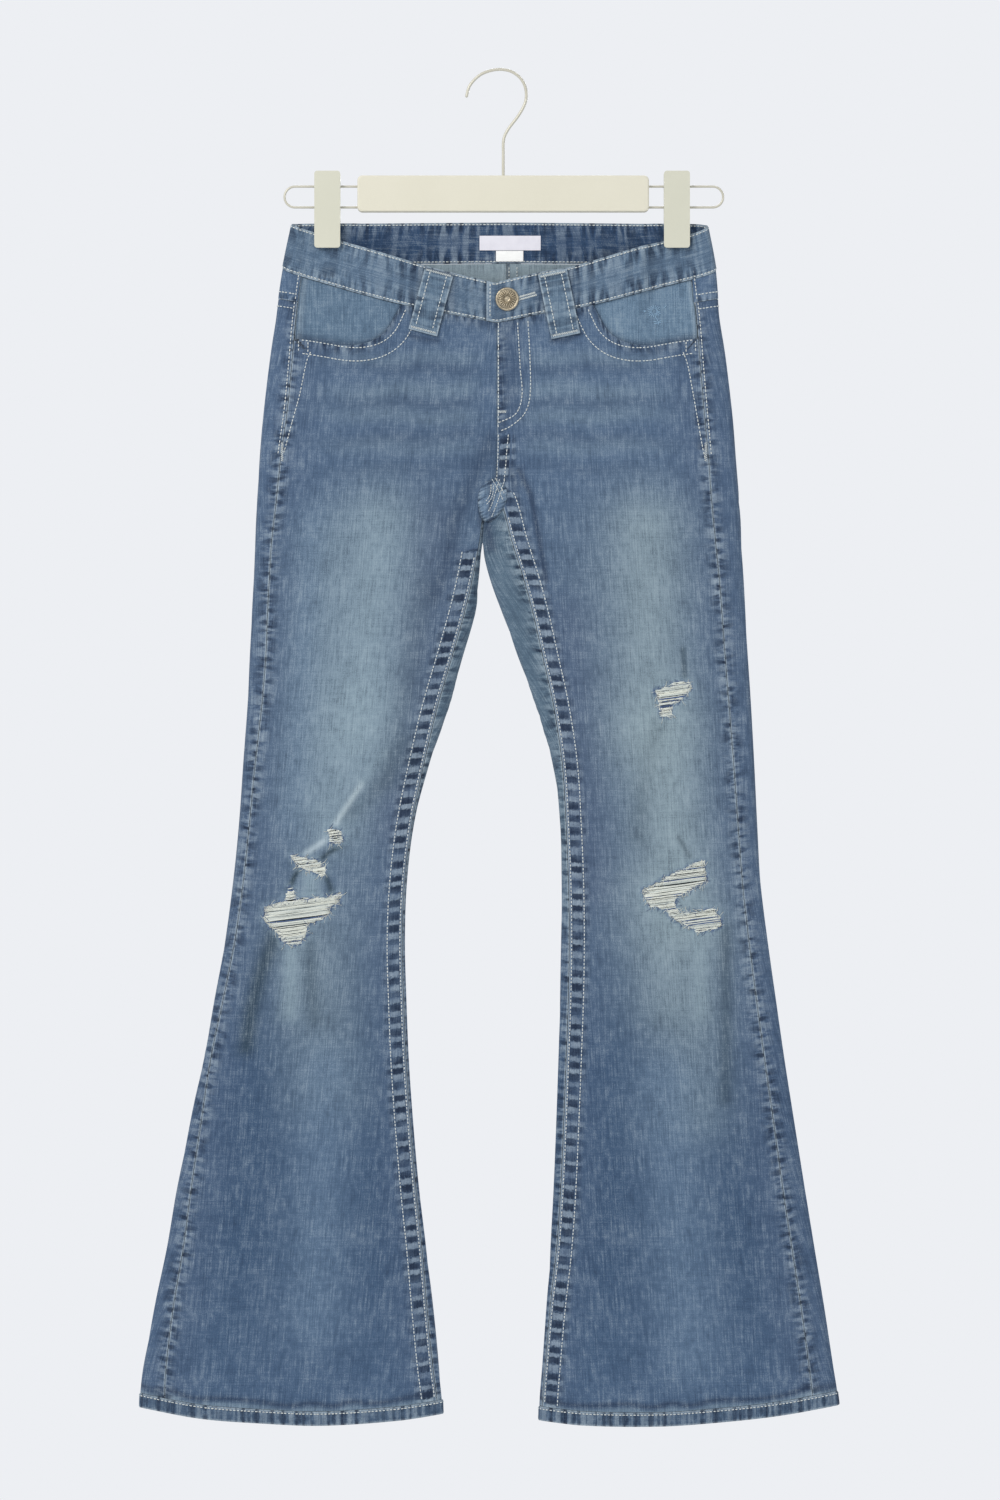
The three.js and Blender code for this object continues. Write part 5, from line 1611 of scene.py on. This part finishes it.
# Two rows round the patch pocket, one across its top, and a tack at each upper corner
def sewPatch(at):
    size = backPocketSize
    for inset in seamRows["patch"]:
        a = inset / size["width"]
        corners = [(a, 0.02), (a, 1 - a * 1.1), (0.5, 1 - a * 1.15), (1 - a, 1 - a * 1.1), (1 - a, 0.02)]
        path = np.concatenate([np.linspace(p, q, 40) for p, q in zip(corners[:-1], corners[1:])])
        stitchRow("back", pieceLine(at, path[:, 0], path[:, 1], onCloth + 0.05))
    top = seamRows["patchTop"] / size["height"]
    stitchRow("back", pieceLine(at, np.linspace(0.02, 0.98, 80), top, onCloth + 0.05))
    for u in (0.035, 0.965):
        tack = pieceLine(at, np.full(12, u), np.linspace(0.01, 0.085, 12), onCloth + 0.1)
        stitchRow("back", tack, *tackLooks["patch"])


def sewLoop(at):
    half = garment["loop"] / 2
    for u in (0.21, 0.79):
        stitchRow("band", pieceLine(at, u, np.linspace(0.05, 0.95, 40), half))
    for v in (0.035, 0.955):
        stitchRow("band", pieceLine(at, np.linspace(0.06, 0.94, 30), v, half + 0.05), *tackLooks["loop"])


for side in ("right", "left"):
    for key, top in inseamTops[side].items():
        stitchRow("front", seamLine(side, False, "inseam", seamRows[key], top, 1137, onCloth + 0.5))
    sewPocketMouth(side)
    sewBack(side)
sewCentreBack()
sewFly()
sewBand()
for side in ("right", "left"):
    stitchRow("front", pieceLine(hems[side], np.linspace(0, 1, 400), 0.17, garment["hem"] / 2 + 0.05))
    sewPatch(patches[side])
for loop in loops:
    sewLoop(loop)

# Bunched seam cloth where the four seams meet: a domed, tilted pouch lying over both legs.
# Each fold: lean, place across, width, depth.
bunchLook = {
    "columns": 44, "rows": 52, "thickness": 1.0, "x": -8.4, "down": 366, "halfWidth": 11.8, "halfHeight": 18,
    "tilt": 0.26, "narrowing": 0.22, "rise": 0.7, "dome": 3.6, "restsOn": (-24.0, 8.0),
    "folds": ((0.3, 0.12, 0.13, 1.5), (0.2, -0.5, 0.12, 1.1)), "stitch": (2.3, 0.36, 0.76),
}
# x and down of the rows of stitches sewn on the bunch
bunchRows = [
    [(-6.8, 352.2), (-7.2, 359), (-9, 364.4), (-13.4, 369.6)],
    [(-8.8, 351.6), (-9.2, 358.4), (-11, 363.2), (-14.8, 367.6)],
    [(-8.2, 347), (-3.6, 355), (1.8, 366)],
    [(-5.6, 346), (-1.2, 353), (3.2, 361)],
    [(2.6, 347.6), (-0.6, 358), (-4.2, 369), (-8.6, 380)],
    [(-1.6, 347), (-4.6, 357), (-8.4, 369), (-12.4, 377)],
]


# Height is a dome over the share of the way to the rim, less two bell-shaped folds; the depth under it
# runs evenly from one leg to the other
def bunchSurface(x, down, offset):
    look = bunchLook
    right, low = x - look["x"], down - look["down"]
    cosine, sine = math.cos(look["tilt"]), math.sin(look["tilt"])
    q = (low * cosine - right * sine) / look["halfHeight"]
    p = (right * cosine + low * sine) / look["halfWidth"] / (1 - look["narrowing"] * q)
    ring = np.clip(p * p + q * q, 0, 1)
    rightX, leftX = look["restsOn"]
    onRight, onLeft = (
        surface(side, turnAt(side, 0 * x + at, down), down, 0 * x)[..., 1]
        for side, at in (("right", rightX), ("left", leftX))
    )
    under = mix(onRight, onLeft, np.clip((x - rightX) / (leftX - rightX), 0, 1))
    folds = sum(depth * bell(p + lean * q - place, width) for lean, place, width, depth in look["folds"])
    height = look["rise"] + look["dome"] * (1 - ring) ** 0.7 - folds * (1 - ring) ** 0.5
    return np.stack([x, under - height - offset, -down], -1), ring


# A square grid drawn in to a disc, narrowed downwards, stretched and tilted
def bunchGrid():
    look = bunchLook
    u, v = np.meshgrid(np.linspace(-1, 1, look["columns"] + 1), np.linspace(-1, 1, look["rows"] + 1))
    p, q = u * np.sqrt(1 - v * v / 2), v * np.sqrt(1 - u * u / 2)
    right = look["halfWidth"] * p * (1 - look["narrowing"] * q)
    low = look["halfHeight"] * q
    cosine, sine = math.cos(look["tilt"]), math.sin(look["tilt"])
    return look["x"] + right * cosine - low * sine, look["down"] + right * sine + low * cosine


def buildBunch():
    look, half = bunchLook, bunchLook["thickness"] / 2
    x, down = bunchGrid()
    outer, ring = bunchSurface(x, down, half)
    inner, _ = bunchSurface(x, down, -half)
    edge = np.stack([0.9 + 9 * (1 - ring), 2.2 * down + x, 0 * x], -1)
    wash = np.broadcast_to(linear(palette["stripe"]), (*x.shape, 3))
    # The pouch's lower rim and a line down its middle are darkened: painted shade
    wash = blendTo(wash, "creaseShade", 0.55 * smooth(0.62, 0.95, ring) * smooth(-6, 10, down - look["down"]))
    wash = blendTo(wash, "darkIndigoAndShade", 0.6 * bell(x - look["x"] + 1, 2.2))
    clothShell("crotchBunch", (outer, inner), np.stack([x, down], -1), wash, "stripe", edge)
    for corners in bunchRows:
        x, down = smoothLine(corners).T
        points, _ = bunchSurface(x, down, half + 0.1)
        frontRow("front", points, look["stitch"])


buildBunch()

# A small embroidered flower on the left pocket's facing: petals of long stitches, a stem and two leaves
flowerLook = {
    "x": 130, "down": 204.5, "petals": 6, "inner": 1.8, "outer": 6.2, "shortShare": 0.82, "radius": 0.34,
    "colour": (150, 186, 216),
}
# x and down from the flower's middle, of both ends of each long stitch
leafStitches = np.array([
    [(1.5, 5.6), (3, 8.4)], [(3, 8.4), (3.4, 11.4)], [(3, 9), (6.4, 7.4)], [(3.2, 9.6), (6.6, 9.2)],
    [(2.6, 9), (-0.6, 8.6)], [(2.8, 10), (0, 10.4)], [(-9, -1), (-6.6, 0.8)], [(-9, 1), (-6.8, -0.8)],
    [(8, -3), (10, -5)],
])


def buildFlower():
    look = flowerLook
    count = look["petals"] * 3
    angle = 2 * np.pi * np.arange(count) / count
    way = np.stack([np.cos(angle), np.sin(angle)], -1)
    reach = look["outer"] * np.where(np.arange(count) % 3 == 1, 1.0, look["shortShare"])
    starts = np.concatenate([way * look["inner"], leafStitches[:, 0]])
    ends = np.concatenate([way * reach[:, None], leafStitches[:, 1]])
    spot = mix(starts[:, None], ends[:, None], np.linspace(0, 1, 4)[:, None]) + [look["x"], look["down"]]
    x, down = spot[..., 0], spot[..., 1]
    lift = np.array([-0.1, 0.2, 0.2, -0.1]) - (garment["cloth"] / 2 + garment["layGap"]) + 0.05
    lift, thick = np.broadcast_to(lift, x.shape), np.full(x.shape, look["radius"])
    tint = np.broadcast_to(linear(look["colour"]), (len(x), 3))
    legStrands("flowerStitches", "left", x, down, lift, thick, tint)


buildFlower()


# Buttonhole: close stitches square to a short slit in the band
def sewButtonhole():
    slit = smoothLine([(14.2, 194.2), (20, 192.6), (29.6, 189.8)])
    for way in (-1, 1):
        x, down = besideLine(slit, way * 1.1).T
        points = layerPoint(x, down, garment["band"] / 2 + 0.1 + bandLap(turnAt("left", x, down)))
        frontRow("band", points, tackLooks["buttonhole"])


sewButtonhole()
for group, rows in stitches.items():
    strandMesh(group + "Stitches", *(np.concatenate(part) for part in zip(*rows)), sewingThread)
print("rows of stitches sewn")


# Where a slanting line enters and leaves an outline
def spansAcross(outline, level, slope):
    ahead = np.roll(outline, -1, 0)
    above = outline[:, 1] + slope * outline[:, 0] - level
    aboveAhead = ahead[:, 1] + slope * ahead[:, 0] - level
    cut = above * aboveAhead < 0
    share = above[cut] / (above[cut] - aboveAhead[cut])
    x = np.sort(mix(outline[cut, 0], ahead[cut, 0], share))
    return [(a, b) for a, b in zip(x[::2], x[1::2]) if b - a > 1]


# White weft threads left across the rips: each slants, sags by half a sine and arches off the cloth
def weftThreads(side):
    look = ripLook
    spans = []
    for outline in rips[side]:
        reach = outline[:, 1] + look["slope"] * outline[:, 0]
        for level in np.arange(reach.min(), reach.max(), look["spacing"]):
            level = level + random.normal(0, 0.18)
            spans += [(a, b, level) for a, b in spansAcross(outline, level, look["slope"])]
    a, b, level = np.array(spans).T
    count = (len(a), 1)
    share = np.linspace(0, 1, look["steps"])
    x = mix(a[:, None] - 1.6, b[:, None] + 1.6, share)
    arch = np.sin(np.pi * share)
    down = level[:, None] - look["slope"] * x + arch * random.normal(0.15, look["loose"], count)
    down = down + 0.12 * np.sin(x * 1.1 + random.random(count) * 6)
    offset = mix(-0.2, 0.75, arch**0.5) + arch * random.normal(0, 0.25, count)
    thick = look["radius"] * (1 + random.normal(0, 0.12, count)) * np.ones(len(share))
    tint = mix(linear(look["colour"]), linear(look["shade"]), random.random(count) ** 2 * 0.8)
    tint = np.where(random.random(count) < look["blueShare"], linear(look["blue"]), tint)
    legStrands("weftThreads" + side.capitalize(), side, x, down, offset, thick, tint)


# Frays start on the outline, lean inward and down, curl, and lift off the cloth
def frayedEnds(side):
    look = ripLook
    twice = [line for line in rips[side] for _ in range(2)]
    outline = np.concatenate(twice)
    inward = np.concatenate([line.mean(0) - line for line in twice])
    inward /= np.linalg.norm(inward, axis=1)[:, None]
    count = (len(outline), 1)
    way = inward * 0.6 + random.normal(0, 0.75, outline.shape) + [0, 0.35]
    way /= np.linalg.norm(way, axis=1)[:, None]
    length = random.uniform(*look["frayLength"], count)
    share = np.linspace(0, 1, 5)
    curl = random.normal(0, 0.35, count) * share**2
    x = outline[:, :1] + length * (way[:, :1] * share - way[:, 1:] * curl)
    down = outline[:, 1:] + length * (way[:, 1:] * share + way[:, :1] * curl)
    offset = 0.45 + share * random.uniform(0, 1.1, count)
    thick = look["frayRadius"] * (1 - 0.5 * share) * np.ones(count)
    blue = random.random(count) < look["frayBlueShare"]
    tint = np.where(blue, linear(look["blue"]), linear(look["colour"]))
    legStrands("frayedEnds" + side.capitalize(), side, x, down, offset, thick, tint, sides=4)


for side in ("right", "left"):
    weftThreads(side)
    frayedEnds(side)
print("rips frayed")

# Shank button: a profile turned round its axis, with rays pressed into its dome
buttonLook = {"x": 4.8, "down": 194.7, "offset": 2.9, "rays": 22, "ray": 0.75, "around": 176}
buttonProfile = np.array([
    [0.02, 2.5], [0.8, 2.5], [1.3, 2.2], [1.8, 2.35], [3, 2.75], [4.6, 2.85], [6.2, 2.6], [7.4, 2.05],
    [7.9, 1.75], [8.4, 1.95], [9.1, 2], [9.7, 1.6], [9.9, 1], [9.8, 0.4], [9, 0.05], [4, 0], [0.02, 0],
])


def metalMaterial(name, bright, dark, roughness, scale):
    material, tree, shader = newMaterial(name)
    hollow = put(tree, "ShaderNodeSeparateXYZ", {0: attribute(tree, "worn")}).outputs[0]
    grime = noise(tree, objectPlace(tree), scale, 4.0, 0.6)
    share = calc(tree, "MULTIPLY_ADD", hollow, 0.8, ramp(tree, grime, 0.42, 0.75, 0.0, 0.5), clamp=True)
    fixed = {"Metallic": 1.0}
    finishShader(tree, shader, share, rgba(bright), rgba(dark), grime, roughness, grime, 0.0002, fixed)
    return material


# The dome's height follows the absolute cosine of the angle; grooves and the rim's inside are darker
def buildButton():
    look = buttonLook
    rows = np.column_stack([np.arange(len(buttonProfile), dtype=float), buttonProfile])
    s = np.linspace(0, rows[-1, 0], 97)
    radius, height = readRows(rows, 1, s)[:, None], readRows(rows, 2, s)[:, None]
    angle = np.linspace(0, 2 * np.pi, look["around"] + 1)[:-1]
    rays = np.abs(np.cos(look["rays"] * angle / 2))
    onDome = smooth(1.9, 3, radius) * (1 - smooth(6.9, 7.7, radius)) * (s[:, None] < 8.2)
    height = height + look["ray"] * (rays - 0.6) * onDome
    aside = [radius * np.cos(angle), -height, radius * np.sin(angle)]
    points = layerPoint(look["x"], look["down"], look["offset"]) + np.stack(aside, -1)
    steps, around = points.shape[:2]
    index = np.arange(steps * around).reshape(steps, around)
    turned = np.roll(index, -1, 1)
    quads = np.stack([index[:-1], turned[:-1], turned[1:], index[1:]], -1).reshape(-1, 4)
    caps = np.stack([index[0, ::-1], index[-1]])
    groove = 0.6 * smooth(7.4, 7.9, radius) * (1 - smooth(7.9, 8.5, radius))
    hollow = np.clip(1.5 * (0.72 - rays) * onDome + groove, 0, 1)
    fields = {"worn": np.stack([hollow, 1 - hollow, np.zeros(hollow.shape)], -1).reshape(-1, 3)}
    metal = metalMaterial("antique metal", (190, 178, 155), (30, 25, 20), (0.42, 0.58), 700.0)
    shape = points.reshape(-1, 3), [quads, caps]
    button = meshPiece("shankButton", *shape, metal, "button_metal", fields, sharp=None)
    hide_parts("button")


buildButton()
print("button made")

# Hanger: smooth bent wires, and moulded plastic on the bar and clips
hangerLook = {
    "hookRadius": 1.25, "wireRadius": 1.0, "sides": 14, "upper": 98.3, "lower": 116, "bend": 8.85,
    "reach": (-185.4, 189.4), "barEnds": (-122.4, 125.2), "socket": 14,
}
hookLine = [
    (-30, 22.5), (-27, 12.5), (-18.5, 3.6), (-9, -0.3), (0, -1.25), (9, 0.8), (16.6, 6.8), (20.6, 15.5),
    (20.4, 26), (15, 37), (5.4, 50), (1.9, 58), (1.5, 70), (1.5, 100.2),
]


def wireMaterial(name):
    material, tree, shader = newMaterial(name)
    where = objectPlace(tree)
    cloud, grain = noise(tree, where, 60.0, 3.0), noise(tree, where, 1500.0, 2.0)
    dark, light, fixed = rgba((188, 184, 168)), rgba((200, 197, 184)), {"Metallic": 0.15}
    finishShader(tree, shader, cloud, dark, light, cloud, (0.3, 0.42), grain, 0.0001, fixed)
    return material


def plasticMaterial(name, dark, light):
    material, tree, shader = newMaterial(name)
    where = objectPlace(tree)
    cloud, grain = noise(tree, where, 18.0, 3.0), noise(tree, where, 1400.0, 2.0, 0.6)
    finishShader(tree, shader, cloud, rgba(dark), rgba(light), grain, (0.42, 0.56), grain, 0.00012, {})
    return material


paintedWire = wireMaterial("painted wire")
barPlastic = plasticMaterial("bar plastic", (208, 204, 186), (214, 210, 193))
clipPlastic = plasticMaterial("clip plastic", (196, 195, 178), (203, 202, 186))


def wirePiece(name, line, radius, node):
    path = np.stack([line[:, 0], np.zeros(len(line)), -line[:, 1]], -1)[None]
    thick = np.full(path.shape[:2], radius)
    thick[:, [0, -1]] *= 0.6
    colours = np.ones((1, 3))
    wire = strandMesh(
        name, path, towardFront[None], thick, colours, paintedWire, "hanger_steel", hangerLook["sides"],
    )
    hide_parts(node)


# Out of the bar's end, round a half circle and back in below
def bentWire(side, reach, barEnd):
    look = hangerLook
    way, bend = np.sign(reach), look["bend"]
    start, corner = barEnd - way * (look["socket"] - 1), reach - way * (bend + look["wireRadius"])
    angle = np.linspace(0, np.pi, 25)
    curve = np.stack([corner + way * bend * np.sin(angle), look["upper"] + bend - bend * np.cos(angle)], -1)
    upper = np.stack([np.linspace(start, corner, 12)[:-1], np.full(11, look["upper"])], -1)
    lower = np.stack([np.linspace(corner, start, 12)[1:], np.full(11, look["lower"])], -1)
    line = np.concatenate([upper, curve, lower])
    wirePiece("smoothWire" + side.capitalize(), line, look["wireRadius"], "hanger_wire_" + side)


wirePiece("smoothHook", smoothLine(hookLine, 1.0), hangerLook["hookRadius"], "hanger_hook")
bentWire("right", hangerLook["reach"][0], hangerLook["barEnds"][0])
bentWire("left", hangerLook["reach"][1], hangerLook["barEnds"][1])
for node in ("hanger_bar", "clip_front_right", "clip_back_right", "clip_front_left", "clip_back_left"):
    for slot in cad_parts[node].material_slots:
        slot.material = barPlastic if node == "hanger_bar" else clipPlastic
print("hanger finished")

# Sizes in metres. Each lamp: name, place, size, power, colour
studio = {
    "distance": 6.0,
    "frameHeight": 1.275,
    "centreX": -0.0013,
    "centreZ": -0.5772,
    "backdrop": (237, 239, 243),
    "ambient": 0.62,
    "floorDrop": 0.75,
    "floorRadius": 3.2,
    "floorRings": (12, 96),
    "lamps": [
        ("key", (-2.2, -2.6, 1.5), 1.6, 95, (1, 0.985, 0.96)),
        ("fill", (2.6, -3.2, -0.4), 2.4, 26, (0.94, 0.97, 1)),
        ("back", (0.6, 2.8, 0.8), 2.0, 60, (1, 1, 1)),
    ],
}


def buildCamera():
    lens = bpy.data.cameras.new("camera")
    lens.lens = 36 * studio["distance"] / studio["frameHeight"]
    camera = placed("camera", lens)
    camera.location = (studio["centreX"], -studio["distance"], studio["centreZ"])
    camera.rotation_euler = (math.pi / 2, 0, 0)
    bpy.context.scene.camera = camera


def buildLight():
    world = bpy.data.worlds.new("studio")
    world.use_nodes = True
    tree = world.node_tree
    background = tree.nodes["Background"]
    seen = tree.nodes.new("ShaderNodeLightPath").outputs["Is Camera Ray"]
    tint = mixColour(tree, seen, (0.95, 0.97, 1, 1), rgba(studio["backdrop"]))
    tree.links.new(tint, background.inputs["Color"])
    tree.links.new(ramp(tree, seen, 0.0, 1.0, studio["ambient"], 1.0), background.inputs["Strength"])
    bpy.context.scene.world = world
    bpy.context.scene.view_settings.view_transform = "Standard"
    for name, place, size, power, colour in studio["lamps"]:
        light = bpy.data.lights.new(name, "AREA")
        light.size, light.energy, light.color = size, power, colour
        lamp = placed(name, light)
        lamp.location = place
        aimX, aimY, aimZ = np.array([0, 0, -0.6]) - place
        steep = math.acos(-aimZ / math.hypot(aimX, aimY, aimZ))
        lamp.rotation_euler = (steep, 0, math.atan2(aimY, aimX) - math.pi / 2)


# The floor is a flat disc of rings, well below the hems
def buildFloor():
    rings, around = studio["floorRings"]
    radius = np.linspace(0.02, studio["floorRadius"], rings)[:, None]
    angle = np.linspace(0, 2 * np.pi, around + 1)[:-1]
    level = np.full((rings, around), cadBox[0][2] - studio["floorDrop"])
    disc = np.stack([radius * np.cos(angle), radius * np.sin(angle), level], -1).reshape(-1, 3)
    quads = ringQuads(np.arange(rings * around).reshape(rings, around))
    mesh = bpy.data.meshes.new("floor")
    mesh.from_pydata(disc.tolist(), [], quads.tolist())
    material, tree, shader = newMaterial("pale floor")
    cloud = noise(tree, objectPlace(tree), 1.5, 2.0)
    tint = mixColour(tree, cloud, rgba((226, 228, 231)), rgba((234, 235, 238)))
    tree.links.new(tint, shader.inputs["Base Color"])
    shader.inputs["Roughness"].default_value = 0.9
    mesh.materials.append(material)
    placed("floor", mesh)


buildCamera()
buildLight()
buildFloor()
print("studio ready")
